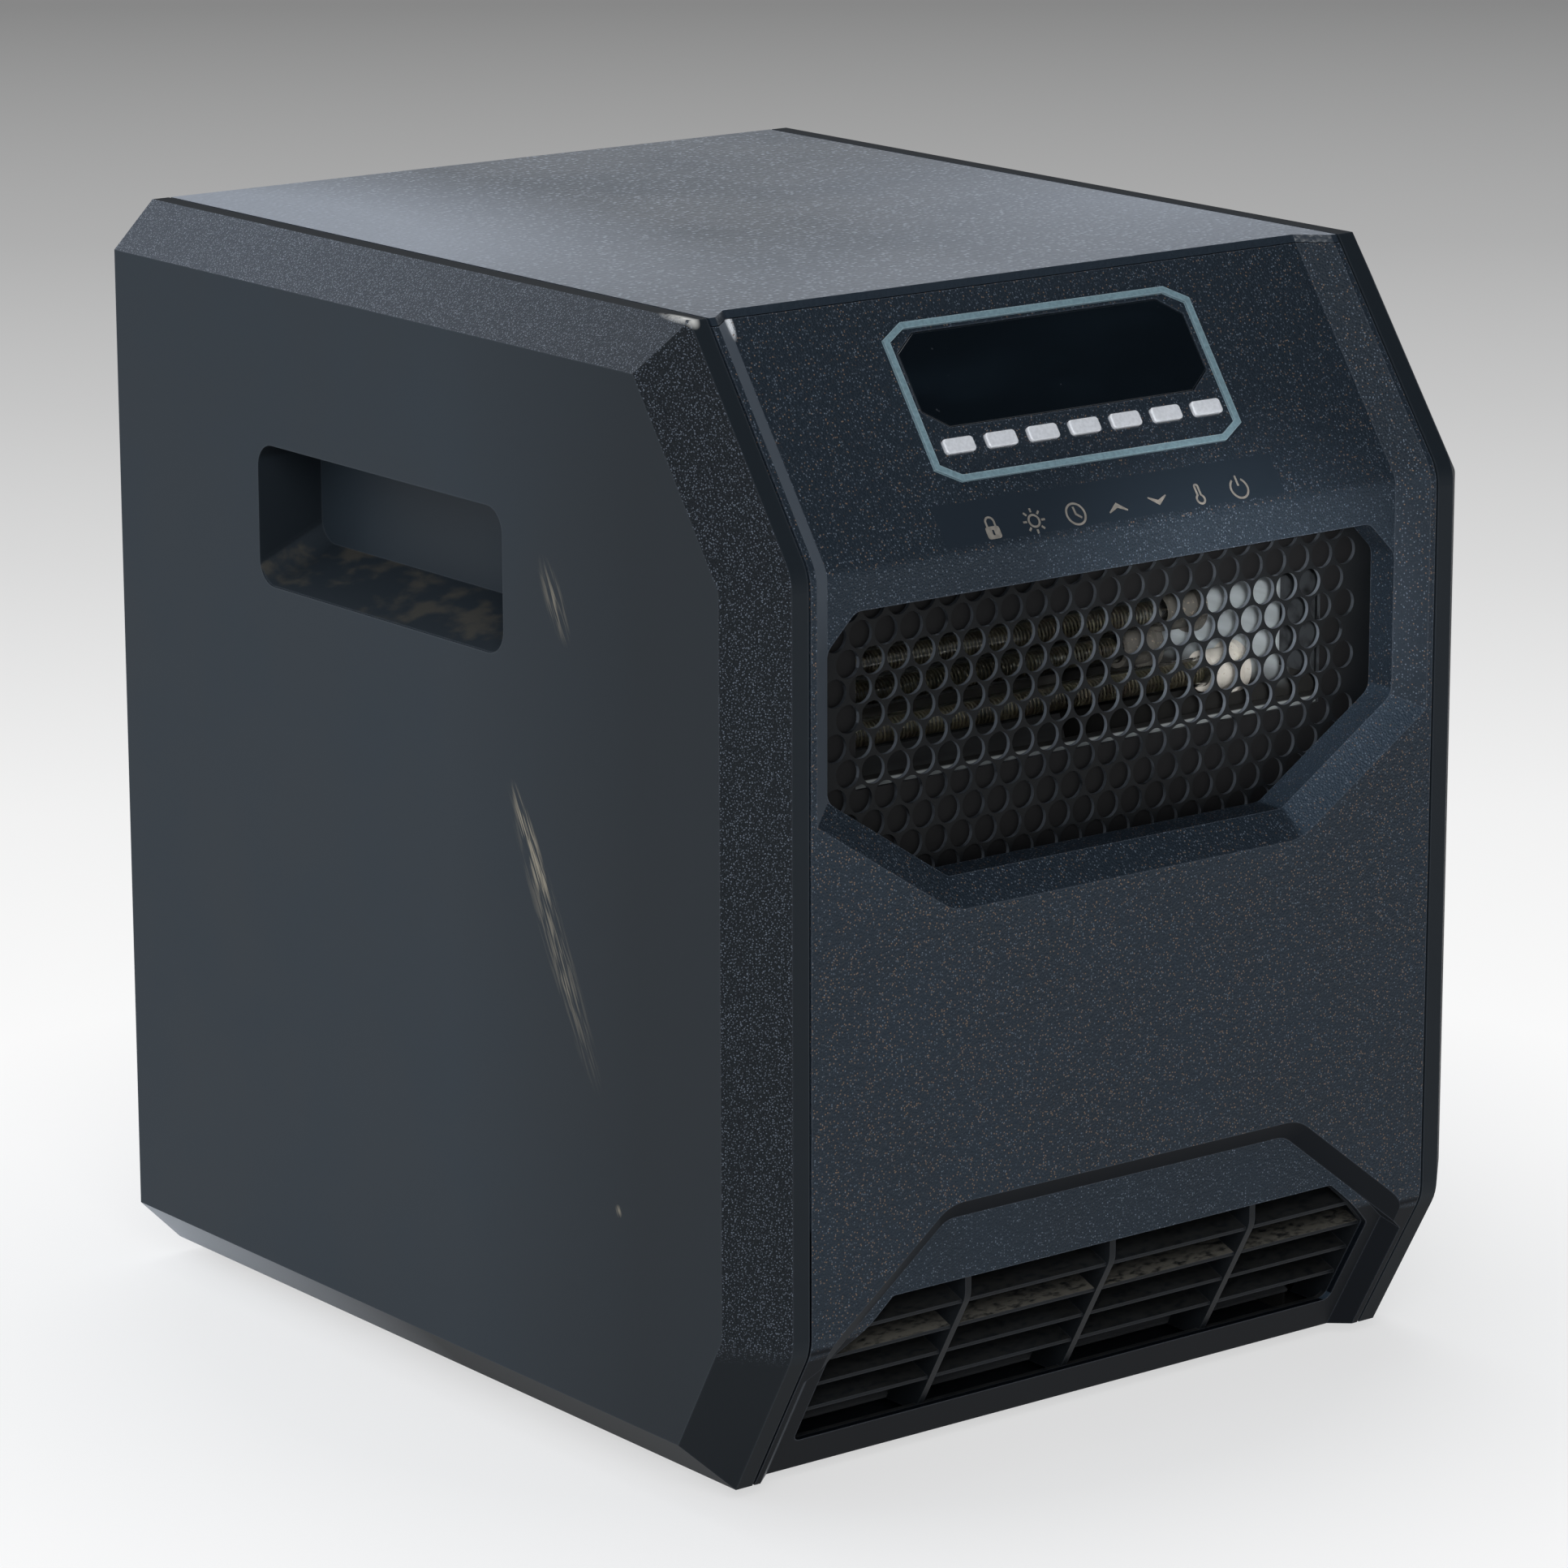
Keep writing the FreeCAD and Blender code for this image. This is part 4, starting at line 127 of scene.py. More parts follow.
def linear(code):
    """Linear RGBA of an sRGB hex colour such as #1d1f24."""
    shown = np.array([int(code[i:i + 2], 16) for i in (1, 3, 5)]) / 255
    plain = np.where(shown <= 0.04045, shown / 12.92, ((shown + 0.055) / 1.055) ** 2.4)
    return (*plain.tolist(), 1.0)


def colour(label, code, what):
    """A colour property whose default is an sRGB hex colour."""
    return bpy.props.FloatVectorProperty(
        name=label, description=what, subtype="COLOR", size=4, min=0, max=1, default=linear(code))


def power(label, watts, what):
    """A property with the power of a lamp in watts."""
    return bpy.props.FloatProperty(name=label, description=what, default=watts, min=0, unit="POWER")


def length(label, millimetres, what):
    """A length property whose default is in millimetres."""
    return bpy.props.FloatProperty(
        name=label, description=what, default=millimetres * MM, unit="LENGTH", precision=5)


class HeaterColours(bpy.types.PropertyGroup):
    """Colours of the parts that are seen from outside."""
    shell: colour("Side shells", "#2c343b", "Moulded sides")
    panel: colour("Panels", "#242d36", "Front and top panel")
    rear: colour("Rear", "#161b20", "Back panel, base and filter cassette")
    grille: colour("Grille", "#0c0e10", "Painted perforated sheet")
    louvre: colour("Louvre", "#121518", "Slats of the air outlet")
    ring: colour("Ring", "#7f9aa3", "Frame round the display")
    button: colour("Buttons", "#e4e6ea", "Push buttons")
    symbol: colour("Symbols", "#827d75", "Printed symbols under the buttons")
    dust: colour("Dust", "#6a675f", "Dust that lies in the grips and on the slats")


class HeaterSizes(bpy.types.PropertyGroup):
    """Sizes of the pieces and patterns that are added to the solids."""
    symbol_stroke: length("Symbol stroke", 0.75, "Width of a printed line")
    symbol_place: length("Symbol place", 3.0, "Middle of the symbols, up the slope from the end of its bend")
    coil_pitch: length("Coil pitch", 1.7, "Distance from turn to turn of a heating coil")
    coil_wire: length("Coil wire", 0.9, "Thickness of the resistance wire")
    net_pitch: length("Net pitch", 3.2, "Distance between threads of the filter net")
    net_thread: length("Net thread", 0.5, "Thickness of a thread of the filter net")
    panel_grain: length("Panel grain", 0.8, "Grain of the front panel, twice its real size so that it shows")
    strip_grain: length("Strip grain", 0.75, "Grain of the slanted edge strips")
    top_grain: length("Top grain", 2.0, "Grain of the top, four times its real size so that it shows")


class HeaterStage(bpy.types.PropertyGroup):
    """Floor, light and camera."""
    floor: colour("Floor", "#ffffff", "Floor near the heater")
    lens: bpy.props.FloatProperty(
        name="Lens", description="Focal length in millimetres on a 36 mm sensor", default=146.7, min=10)
    camera_place: bpy.props.FloatVectorProperty(
        name="Camera", description="Where the camera stands", subtype="TRANSLATION", unit="LENGTH",
        default=(-1.3848, -1.7959, 0.7683))
    camera_turn: bpy.props.FloatVectorProperty(
        name="Camera turn", description="Elevation, roll and azimuth", subtype="EULER", unit="ROTATION",
        default=np.radians((14.08, -0.13, -37.585)).tolist())
    overhead: power("Overhead lamp", 10.0, "Power of the soft box above the heater")
    key: power("Key lamp", 20.0, "Power of the soft box to the left")
    window: power("Window lamp", 900.0, "Power of the narrow beam into the window")
    surround: bpy.props.FloatProperty(
        name="Surround", description="Strength of the studio all round", default=0.85, min=0)


def node(tree, kind, inputs=None, out=0, **settings):
    """Adds a shader node with its settings, gives its inputs values or links, and returns one output."""
    made = tree.nodes.new("ShaderNode" + kind)
    for name, value in settings.items():
        setattr(made, name, value)
    for key, value in (inputs or {}).items():
        if isinstance(value, bpy.types.NodeSocket):
            tree.links.new(value, made.inputs[key])
        else:
            made.inputs[key].default_value = value
    return made.outputs[out]


class Finish:
    """A material in the making: its tree, where its points lie, how they tilt, its colour and roughness."""

    def __init__(self, name, colour, rough, metallic=0.0, ior=1.5):
        self.material = bpy.data.materials.new(name)
        self.material.use_nodes = True
        self.tree = self.material.node_tree
        self.shader = self.tree.nodes["Principled BSDF"]
        self.shader.inputs["Metallic"].default_value = metallic
        self.shader.inputs["IOR"].default_value = ior
        self.place = node(self.tree, "TexCoord", out="Object")
        normal = self.place.node.outputs["Normal"]
        self.where = node(self.tree, "SeparateXYZ", {0: self.place}).node.outputs
        self.tilt = node(self.tree, "SeparateXYZ", {0: normal}).node.outputs
        self.colour = colour
        self.rough = rough

    def coat(self, mask, colour, rough, share=None):
        """Another colour and roughness over the ones so far, where the mask, times a share, is one."""
        if share is not None:
            mask = node(self.tree, "Math", {0: mask, 1: share}, operation="MULTIPLY")
        self.colour = node(self.tree, "Mix", {0: mask, 6: self.colour, 7: colour}, 2, data_type="RGBA")
        self.rough = node(self.tree, "Mix", {0: mask, 2: self.rough, 3: rough})

    def done(self, relief):
        """Gives the shader its colour, roughness and relief, and returns the material."""
        self.tree.links.new(self.colour, self.shader.inputs["Base Color"])
        self.tree.links.new(self.rough, self.shader.inputs["Roughness"])
        self.tree.links.new(relief, self.shader.inputs["Normal"])
        return self.material


def shade(rgba, factor):
    """A colour made lighter or darker."""
    return (*[min(1.0, c * factor) for c in rgba[:3]], 1.0)


def clouds(made, size, low, high, most=1.0, stretch=(1, 1, 1), detail=3.0, turn=(0, 0, 0)):
    """Patches about 'size' wide, longer along a stretched axis: noise, nought at 'low', 'most' at 'high'."""
    turned = node(made.tree, "Mapping", {"Vector": made.place, "Rotation": turn})
    scale = [1 / (size * k) for k in stretch]
    scaled = node(made.tree, "VectorMath", {0: turned, 1: scale}, operation="MULTIPLY")
    noise = node(made.tree, "TexNoise", {"Vector": scaled, "Scale": 1.0, "Detail": detail})
    return node(made.tree, "MapRange", {"Value": noise, "From Min": low, "From Max": high, "To Max": most},
                interpolation_type="SMOOTHSTEP")


def spot(made, centre, reach, turn=(0, 0, 0)):
    """One at a spot's centre, falling to nought at the ellipsoid of its reach, which may be turned."""
    inputs = {"Vector": made.place, "Location": centre, "Rotation": turn, "Scale": reach}
    local = node(made.tree, "Mapping", inputs, vector_type="TEXTURE")
    return node(made.tree, "TexGradient", {0: local}, 1, gradient_type="SPHERICAL")


def edge_wear_and_highlight(made, radius, most):
    """Edges painted paler, as wear and as a painted highlight: where the normal, rounded over a radius,
    leaves the flat one.
    """
    soft = node(made.tree, "Bevel", {"Radius": radius}, samples=4)
    flat = node(made.tree, "NewGeometry", out="True Normal")
    turn = node(made.tree, "VectorMath", {0: soft, 1: flat}, "Value", operation="DOT_PRODUCT")
    return node(made.tree, "MapRange", {"Value": turn, "From Min": 0.995, "From Max": 0.93, "To Max": most})


def pebbles(made, size, depth, share):
    """Grain of a spark-eroded mould: the relief of its pebbles, their tops, and lots drawn for each."""
    cells = node(made.tree, "TexVoronoi", {"Vector": made.place, "Scale": 1 / size})
    relief = node(made.tree, "Bump", {"Height": cells, "Distance": depth, "Strength": share}, invert=True)
    tops = node(made.tree, "MapRange", {"Value": cells, "From Min": 0.42, "From Max": 0.2})
    lots = node(made.tree, "SeparateColor", {0: cells.node.outputs["Color"]}).node.outputs
    return relief, tops, lots


def moulded_shell(base, dust, grain):
    """Moulded ABS of the sides: satin planes, and slanted edge strips with a pebbled grain that glints."""
    made = Finish("moulded_abs_shell", base, 0.44, ior=1.22)
    tree = made.tree
    y, z = made.where["Y"], made.where["Z"]
    tilt = made.tilt
    made.coat(clouds(made, 0.05, 0.35, 0.7), shade(base, 1.12), 0.52)
    # Darker towards the front: painted shade.
    painted_front_shade = node(tree, "MapRange", {"Value": y, "From Min": -0.02, "From Max": -0.13, "To Max": 0.75})
    made.coat(painted_front_shade, shade(base, 0.45), 0.46)

    # The front flange and the skirt are smooth and dark: the flange, and what faces down, with painted
    # shade. Only the strips above the skirt are grained.
    painted_flange_shade = node(tree, "MapRange", {"Value": tilt["Y"], "From Min": -0.65, "From Max": -0.75})
    made.coat(painted_flange_shade, shade(base, 0.5), 0.5)
    lean = node(tree, "Math", {0: tilt["X"]}, operation="ABSOLUTE")
    leaning = node(tree, "Math", {0: lean, 1: 0.7, 2: 0.15}, operation="COMPARE")
    made.coat(leaning, shade(base, 0.32), 0.5)
    strip = node(tree, "MapRange", {
        "Value": z, "From Min": SKIRT_TOP - 0.004, "From Max": SKIRT_TOP + 0.004, "To Max": leaning})
    # What faces down is painted darker as shade.
    under = node(tree, "MapRange", {"Value": tilt["Z"], "From Min": -0.3, "From Max": -0.5})
    made.coat(under, shade(base, 0.3), 0.6)
    # At the rear, low down, what faces down gets a pale painted highlight.
    painted_rear_highlight = node(tree, "MapRange", {"Value": y, "From Min": 0.0, "From Max": 0.2, "To Max": under})
    low = node(tree, "MapRange", {"Value": z, "From Min": 0.08, "From Max": 0.06, "To Max": painted_rear_highlight})
    made.coat(low, linear("#a3a8ae"), 0.5)

    # A film of dust and painted sheen on what faces up, thinner towards the front, and painted glints on the
    # grain.
    thin = node(tree, "MapRange", {
        "Value": y, "From Min": -0.14, "From Max": 0.12, "To Min": 0.2, "To Max": 0.55})
    film = node(tree, "MapRange", {"Value": tilt["Z"], "From Min": 0.6, "From Max": 0.75, "To Max": thin})
    made.coat(film, linear("#7d848f"), 0.5)
    relief, tops, lots = pebbles(made, grain, 0.0005, strip)
    painted_glint = node(tree, "MapRange", {"Value": lots[0], "From Min": -0.4, "To Max": tops})
    made.coat(painted_glint, linear("#666e79"), 0.35, strip)
    made.coat(painted_glint, linear("#cdd4de"), 0.35, film)

    # The floor of the grips is painted darker as shade, with loose dust and finger marks on it.
    deep = node(tree, "Math", {0: z, 1: GRIP_FLOOR, 2: 0.02}, operation="COMPARE")
    behind = node(tree, "MapRange", {
        "Value": y, "From Min": GRIP_FRONT - 0.01, "From Max": GRIP_FRONT, "To Max": deep})
    ledge = node(tree, "MapRange", {"Value": tilt["Z"], "From Min": 0.2, "From Max": 0.3, "To Max": behind})
    loose = node(tree, "Math", {0: ledge, 1: 0.8}, operation="MULTIPLY")
    made.coat(ledge, shade(base, 0.7), 0.7)
    made.coat(clouds(made, 0.012, 0.48, 0.66, loose, (1, 1.6, 1), 5.0), shade(dust, 0.4), 0.9)

    # Rubs and scratches of the left side, from use.
    rubbed = 0.0
    for place, (wide, high), weight in RUBS:
        mark = spot(made, place, (0.01, wide, high), (RUB_LEAN, 0, 0))
        rub = node(tree, "Math", {0: mark, 1: weight}, operation="MULTIPLY")
        rubbed = node(tree, "Math", {0: rubbed, 1: rub}, operation="MAXIMUM")
    worn = node(tree, "MapRange", {"Value": rubbed, "From Max": 0.6, "To Max": 0.8})
    lines = clouds(made, 0.0011, 0.44, 0.62, worn, (1, 1, 14), 3.0, (-RUB_LEAN, 0, 0))
    made.coat(lines, linear("#a39a88"), 0.6)

    # The lip along the top panel lies in the shade of the joint, but for one chipped place.
    level = node(tree, "MapRange", {"Value": tilt["Z"], "From Min": 0.94, "From Max": 0.97})
    lip = node(tree, "MapRange", {
        "Value": z, "From Min": TOP_LIP, "From Max": TOP_LIP + 0.0005, "To Max": level})
    made.coat(lip, shade(base, 0.25), 0.7)
    # Edges paler from wear and a painted highlight, then the chipped place.
    made.coat(edge_wear_and_highlight(made, 0.0009, 0.1), linear("#80868f"), 0.4)
    chip = spot(made, CHIP, (0.003, 0.015, 0.003))
    made.coat(clouds(made, 0.003, 0.3, 0.45, chip), linear("#f2f0ea"), 0.7)
    return made.done(relief)


def glint_painted_panel(base, grain):
    """Moulded ABS of the front: a fine grain with bluish and rusty painted glints, smooth in places, and
    painted shade and highlights.
    """
    made = Finish("moulded_abs_front", base, 0.46, ior=1.25)
    tree = made.tree
    x, z = made.where["X"], made.where["Z"]
    tilt = made.tilt
    made.coat(clouds(made, 0.04, 0.35, 0.7), shade(base, 1.15), 0.54)

    # The slope with the display is painted a little darker as shade.
    slope = node(tree, "MapRange", {"Value": tilt["Z"], "From Min": 0.2, "From Max": 0.35})
    made.coat(slope, shade(base, 0.87), 0.46)

    # Smooth are the foot, but for its inside, the arch's slanted sides and the symbols' band; the foot and
    # the arch's sides are painted dark as shade, the band a tone darker.
    outside = node(tree, "MapRange", {"Value": tilt["Z"], "From Min": -0.45, "From Max": -0.35})
    foot = node(tree, "MapRange", {
        "Value": z, "From Min": SKIRT_TOP + 0.0015, "From Max": SKIRT_TOP - 0.0005, "To Max": outside})
    low = node(tree, "MapRange", {"Value": z, "From Min": ARCH_TOP + 0.001, "From Max": ARCH_TOP - 0.001})
    arch = node(tree, "MapRange", {"Value": tilt["Y"], "From Min": -0.93, "From Max": -0.88, "To Max": low})
    dark = node(tree, "Math", {0: foot, 1: arch}, operation="MAXIMUM")
    made.coat(dark, linear("#090e14"), 0.55)
    sheen = node(tree, "MapRange", {"Value": dark, "To Min": 0.5, "To Max": 0.3})
    tree.links.new(sheen, made.shader.inputs["Specular IOR Level"])
    aside = node(tree, "Math", {0: x}, operation="ABSOLUTE")
    middle = node(tree, "MapRange", {"Value": aside, "From Min": BAND_HALF + 0.0005, "From Max": BAND_HALF})
    above = node(tree, "MapRange", {
        "Value": z, "From Min": BAND_BOTTOM - 0.0005, "From Max": BAND_BOTTOM, "To Max": middle})
    band = node(tree, "MapRange", {
        "Value": z, "From Min": BAND_TOP + 0.0002, "From Max": BAND_TOP - 0.0002, "To Max": above})
    made.coat(band, shade(base, 0.85), 0.5)

    # The lower right bevel round the window has a pale painted highlight, and the sunk area's left one is
    # smooth with a painted highlight, brighter towards its top.
    below = node(tree, "MapRange", {"Value": z, "From Min": GRILLE_TOP, "From Max": GRILLE_TOP - 0.01})
    upward = node(tree, "MapRange", {"Value": tilt["Z"], "From Min": 0.1, "From Max": 0.2, "To Max": below})
    rubbed = node(tree, "MapRange", {
        "Value": tilt["X"], "From Min": -0.15, "From Max": -0.25, "To Max": upward})
    made.coat(rubbed, shade(base, 1.8), 0.4)
    bevel = node(tree, "MapRange", {"Value": tilt["X"], "From Min": 0.35, "From Max": 0.45})
    painted_bevel_highlight = node(tree, "MapRange", {
        "Value": z, "From Min": GRILLE_TOP - 0.01, "From Max": GRILLE_TOP + 0.025, "To Min": 0.4})
    made.coat(bevel, linear("#626a73"), 0.3, painted_bevel_highlight)
    # A near-white painted highlight at the upper end of the left bevel.
    tip = node(tree, "MapRange", {"Value": spot(made, BEVEL_HIGHLIGHT_SPOT, (0.0025, 0.008, 0.008)), "From Max": 0.5})
    made.coat(tip, linear("#e4e7ea"), 0.4)
    smooth = node(tree, "Math", {0: dark, 1: band}, operation="MAXIMUM")
    smooth = node(tree, "Math", {0: smooth, 1: bevel}, operation="MAXIMUM")
    grained = node(tree, "Math", {0: 1.0, 1: smooth}, operation="SUBTRACT")

    # Painted glints, bluish and rusty, on the tops of the grain's pebbles.
    relief, tops, lots = pebbles(made, grain, 0.0003, grained)
    showing = node(tree, "Math", {0: tops, 1: grained}, operation="MULTIPLY")
    bluish = node(tree, "MapRange", {"Value": lots[0], "From Min": 0.5, "To Max": showing})
    rusty = node(tree, "MapRange", {"Value": lots[1], "From Min": 0.86, "From Max": 0.92, "To Max": showing})
    made.coat(bluish, linear("#6e7986"), 0.35)
    made.coat(rusty, linear("#7b6553"), 0.35)
    # Edges paler from wear and a painted highlight.
    made.coat(edge_wear_and_highlight(made, 0.0007, 0.25), linear("#7d838d"), 0.4)
    return made.done(relief)


def dusty_top(base, dust, grain):
    """Moulded ABS of the top: a fine grain with painted glints under a film of dust, wiped in slanting
    streaks, and thick patches of dust and painted sheen.
    """
    made = Finish("moulded_abs_top", base, 0.36)
    tree = made.tree
    upward = node(tree, "MapRange", {"Value": made.tilt["Z"], "From Min": 0.8, "From Max": 0.95})
    made.coat(clouds(made, 0.08, 0.35, 0.7, upward), shade(base, 1.4), 0.42)
    film = node(tree, "Math", {0: upward, 1: 0.15}, operation="MULTIPLY")
    made.coat(clouds(made, 0.03, 0.3, 0.75, film, (5, 1, 1), 4.0, (0, 0, 0.6)), linear("#6d7178"), 0.6)
    for place, (wide, deep), weight in DUST_AND_SHEEN_PATCHES:
        patch = spot(made, place, (wide, deep, 0.2))
        dust_and_sheen = node(tree, "MapRange", {"Value": patch, "To Max": weight})
        made.coat(dust_and_sheen, linear("#969ca6"), 0.55, upward)
    relief, tops, lots = pebbles(made, grain, 0.00025, 1.0)
    painted_glint = node(tree, "MapRange", {"Value": lots[0], "From Min": 0.1, "To Max": tops})
    made.coat(painted_glint, linear("#a2aab6"), 0.4, upward)
    made.coat(clouds(made, 0.0028, 0.68, 0.74, film), shade(dust, 1.8), 0.8)
    chip = spot(made, CHIP, (0.004, 0.004, 0.003))
    made.coat(clouds(made, 0.003, 0.36, 0.5, chip), linear("#f2f0ea"), 0.7)
    return made.done(relief)


def moulded_plain(name, base, rough=0.5):
    """Moulded plastic of the back and small parts: a fine grain with painted glints, slightly clouded, paler
    along its edges from wear and a painted highlight.
    """
    made = Finish(name, base, rough)
    made.coat(clouds(made, 0.03, 0.35, 0.7), shade(base, 1.4), rough + 0.08)
    relief, tops, lots = pebbles(made, FINE, 0.0002, 0.5)
    painted_glint = node(made.tree, "MapRange", {"Value": lots[0], "From Min": 0.5, "To Max": tops})
    made.coat(painted_glint, shade(base, 3.0), rough)
    made.coat(edge_wear_and_highlight(made, 0.0007, 0.3), shade(base, 4.0), rough)
    return made.done(relief)


def dusty_slats(base, dust):
    """Moulded plastic of the outlet: matte slats with specks of dust, and lint lying on the second one."""
    made = Finish("moulded_abs_slats", base, 0.5, ior=1.3)
    tree = made.tree
    height = made.where["Z"]
    made.coat(clouds(made, 0.02, 0.35, 0.7), shade(base, 1.5), 0.58)
    # Edges paler from wear and a painted highlight.
    made.coat(edge_wear_and_highlight(made, 0.0006, 0.12), linear("#6b6f76"), 0.5)
    upward = node(tree, "MapRange", {"Value": made.tilt["Z"], "From Min": 0.3, "From Max": 0.8})
    second = node(tree, "Math", {0: height, 1: SECOND_SLAT, 2: 0.0045}, operation="COMPARE")
    heap = node(tree, "MapRange", {
        "Value": height, "From Min": SECOND_SLAT + 0.003, "From Max": SECOND_SLAT - 0.002, "To Min": 0.1})
    load = node(tree, "MapRange", {"Value": second, "To Min": 0.1, "To Max": heap})
    lying = node(tree, "Math", {0: load, 1: upward}, operation="MULTIPLY")
    lint = clouds(made, 0.002, 0.26, 0.58, lying, (2, 1, 1), 6.0)
    made.coat(lint, shade(dust, 0.8), 0.95)
    return made.done(node(tree, "Bump", {"Height": lint, "Distance": 0.0005, "Strength": 0.6}))


def coated_steel(name, base, rough, bare, painted_highlight_band=None):
    """Powder-coated steel: an even coat with a faint orange peel, paler where it was cut after coating, as
    bare metal and a painted highlight.

    Within a width and between two heights that may be given, what was cut gets a stronger painted highlight.
    """
    made = Finish(name, base, rough, ior=1.25)
    tree = made.tree
    made.coat(clouds(made, 0.03, 0.35, 0.7), shade(base, 1.4), rough + 0.1)
    cut = node(tree, "Math", {0: made.tilt["Y"], 1: 0.0, 2: 0.3}, operation="COMPARE")
    made.coat(clouds(made, 0.006, 0.2, 0.6, cut), bare, 0.45)
    if painted_highlight_band:
        width, low, high = painted_highlight_band
        middle, reach = (low + high) / 2, (high - low) / 2
        across = node(tree, "Math", {0: made.where["X"], 1: 0.0, 2: width / 2}, operation="COMPARE")
        level = node(tree, "Math", {0: made.where["Z"], 1: middle, 2: reach}, operation="COMPARE")
        within = node(tree, "Math", {0: across, 1: level}, operation="MULTIPLY")
        made.coat(cut, shade(bare, 2.0), 0.35, within)
    peel = clouds(made, FINE, 0.2, 0.8)
    return made.done(node(tree, "Bump", {"Height": peel, "Distance": 0.00004, "Strength": 0.5}))


def rolled_metal(name, code, rough, streak=(30, 1, 1), patch=0.002, metallic=1.0, painted_shade_places=()):
    """Rolled or drawn metal: long faint streaks along the way it was rolled, and dull clouds.

    Painted shade darkens it past some places: an axis, where on it the metal keeps its own colour, and where
    it is fully darkened.
    """
    base = linear(code)
    made = Finish(name, shade(base, 0.78), rough - 0.08, metallic)
    lines = clouds(made, patch, 0.2, 0.8, stretch=streak, detail=4.0)
    made.coat(lines, shade(base, 1.1), rough + 0.1)
    made.coat(clouds(made, 0.03, 0.4, 0.75, 0.3), shade(base, 0.6), rough + 0.15)
    for axis, unshaded_at, shaded_at in painted_shade_places:
        past = node(made.tree, "MapRange", {"Value": made.where[axis], "From Min": unshaded_at, "From Max": shaded_at})
        made.coat(past, linear("#1d1d1c"), 0.9)
    return made.done(node(made.tree, "Bump", {"Height": lines, "Distance": 0.00004, "Strength": 0.4}))


def satin_ring(base):
    """Satin painted ABS of the display's frame: metal flake in a slate paint, with a painted highlight along
    its edges.
    """
    made = Finish("painted_abs_ring", shade(base, 0.85), 0.36, metallic=0.2)
    flake = clouds(made, FINE, 0.25, 0.75, detail=1.0)
    made.coat(flake, shade(base, 1.12), 0.46)
    made.coat(edge_wear_and_highlight(made, 0.0006, 0.5), linear("#c3d6df"), 0.3)
    return made.done(node(made.tree, "Bump", {"Height": flake, "Distance": 0.00003, "Strength": 0.4}))


def silvered_button(base):
    """Silver-painted ABS of the buttons: a smooth flake paint, worn a little duller in patches, with a
    painted highlight along its edges.
    """
    made = Finish("silvered_abs_button", shade(base, 0.92), 0.34, metallic=0.12)
    flake = clouds(made, FINE, 0.25, 0.75, detail=1.0)
    made.coat(flake, shade(base, 1.05), 0.42)
    made.coat(clouds(made, 0.006, 0.55, 0.75, 0.25), shade(base, 0.75), 0.5)
    made.coat(edge_wear_and_highlight(made, 0.0006, 0.7), linear("#f8f9fa"), 0.3)
    return made.done(node(made.tree, "Bump", {"Height": flake, "Distance": 0.00002, "Strength": 0.4}))


def gloss_lens():
    """Smoked acrylic: glossy near-black, with faint wiped smears, dust points and a painted highlight along
    its edges.
    """
    made = Finish("smoked_acrylic_lens", linear("#060c11"), 0.05, ior=1.49)
    made.coat(clouds(made, 0.02, 0.45, 0.75, stretch=(3, 1, 1), detail=4.0), linear("#0b1319"), 0.16)
    made.coat(clouds(made, 0.0022, 0.72, 0.78, 0.3), linear("#4a4d52"), 0.6)
    made.coat(edge_wear_and_highlight(made, 0.0006, 0.4), linear("#4c545c"), 0.2)
    return made.done(node(made.tree, "Bump", {"Height": clouds(made, 0.05, 0.2, 0.8), "Distance": 0.00005}))


def printed_ink(base):
    """Screen-printed ink: a flat matte coat, thin in places."""
    made = Finish("screen_printed_ink", shade(base, 0.75), 0.55)
    thin = clouds(made, 0.0016, 0.25, 0.75)
    made.coat(thin, shade(base, 1.1), 0.68)
    return made.done(node(made.tree, "Bump", {"Height": thin, "Distance": 0.00002, "Strength": 0.4}))


def clear_quartz():
    """Fused quartz tube: clear, with faint draw lines along its length."""
    made = Finish("fused_quartz_tube", linear("#eef0ee"), 0.02, ior=1.458)
    made.shader.inputs["Transmission Weight"].default_value = 1.0
    lines = clouds(made, 0.0015, 0.25, 0.75, stretch=(40, 1, 1))
    made.coat(lines, linear("#ffffff"), 0.08)
    return made.done(node(made.tree, "Bump", {"Height": lines, "Distance": 0.00003, "Strength": 0.3}))


def heated_wire():
    """Iron-chrome resistance wire, browned and dulled by heat in bands."""
    made = Finish("resistance_wire", linear("#70685a"), 0.4, metallic=0.4)
    made.coat(clouds(made, 0.012, 0.3, 0.7), linear("#979078"), 0.55)
    made.coat(clouds(made, 0.003, 0.6, 0.75, 0.5), linear("#50483d"), 0.6)
    scale = clouds(made, FINE, 0.2, 0.8)
    return made.done(node(made.tree, "Bump", {"Height": scale, "Distance": 0.00003, "Strength": 0.5}))


def pressed_ceramic():
    """Pressed steatite: pale, chalky, with fine pores, and darker behind the first tube."""
    made = Finish("pressed_steatite", linear("#a29e96"), 0.65, ior=1.55)
    made.coat(clouds(made, 0.008, 0.3, 0.7), linear("#b6b2aa"), 0.8)
    behind_first_tube = node(made.tree, "MapRange", {
        "Value": made.where["Y"], "From Min": FIRST_CAP_BACK, "From Max": FIRST_CAP_BACK + 0.004,
        "To Max": 0.9})
    made.coat(behind_first_tube, linear("#2f2d29"), 0.8)
    pores = clouds(made, FINE, 0.62, 0.7, 0.6)
    made.coat(pores, linear("#84796a"), 0.85)
    return made.done(node(made.tree, "Bump", {"Height": pores, "Distance": 0.0001}, invert=True))


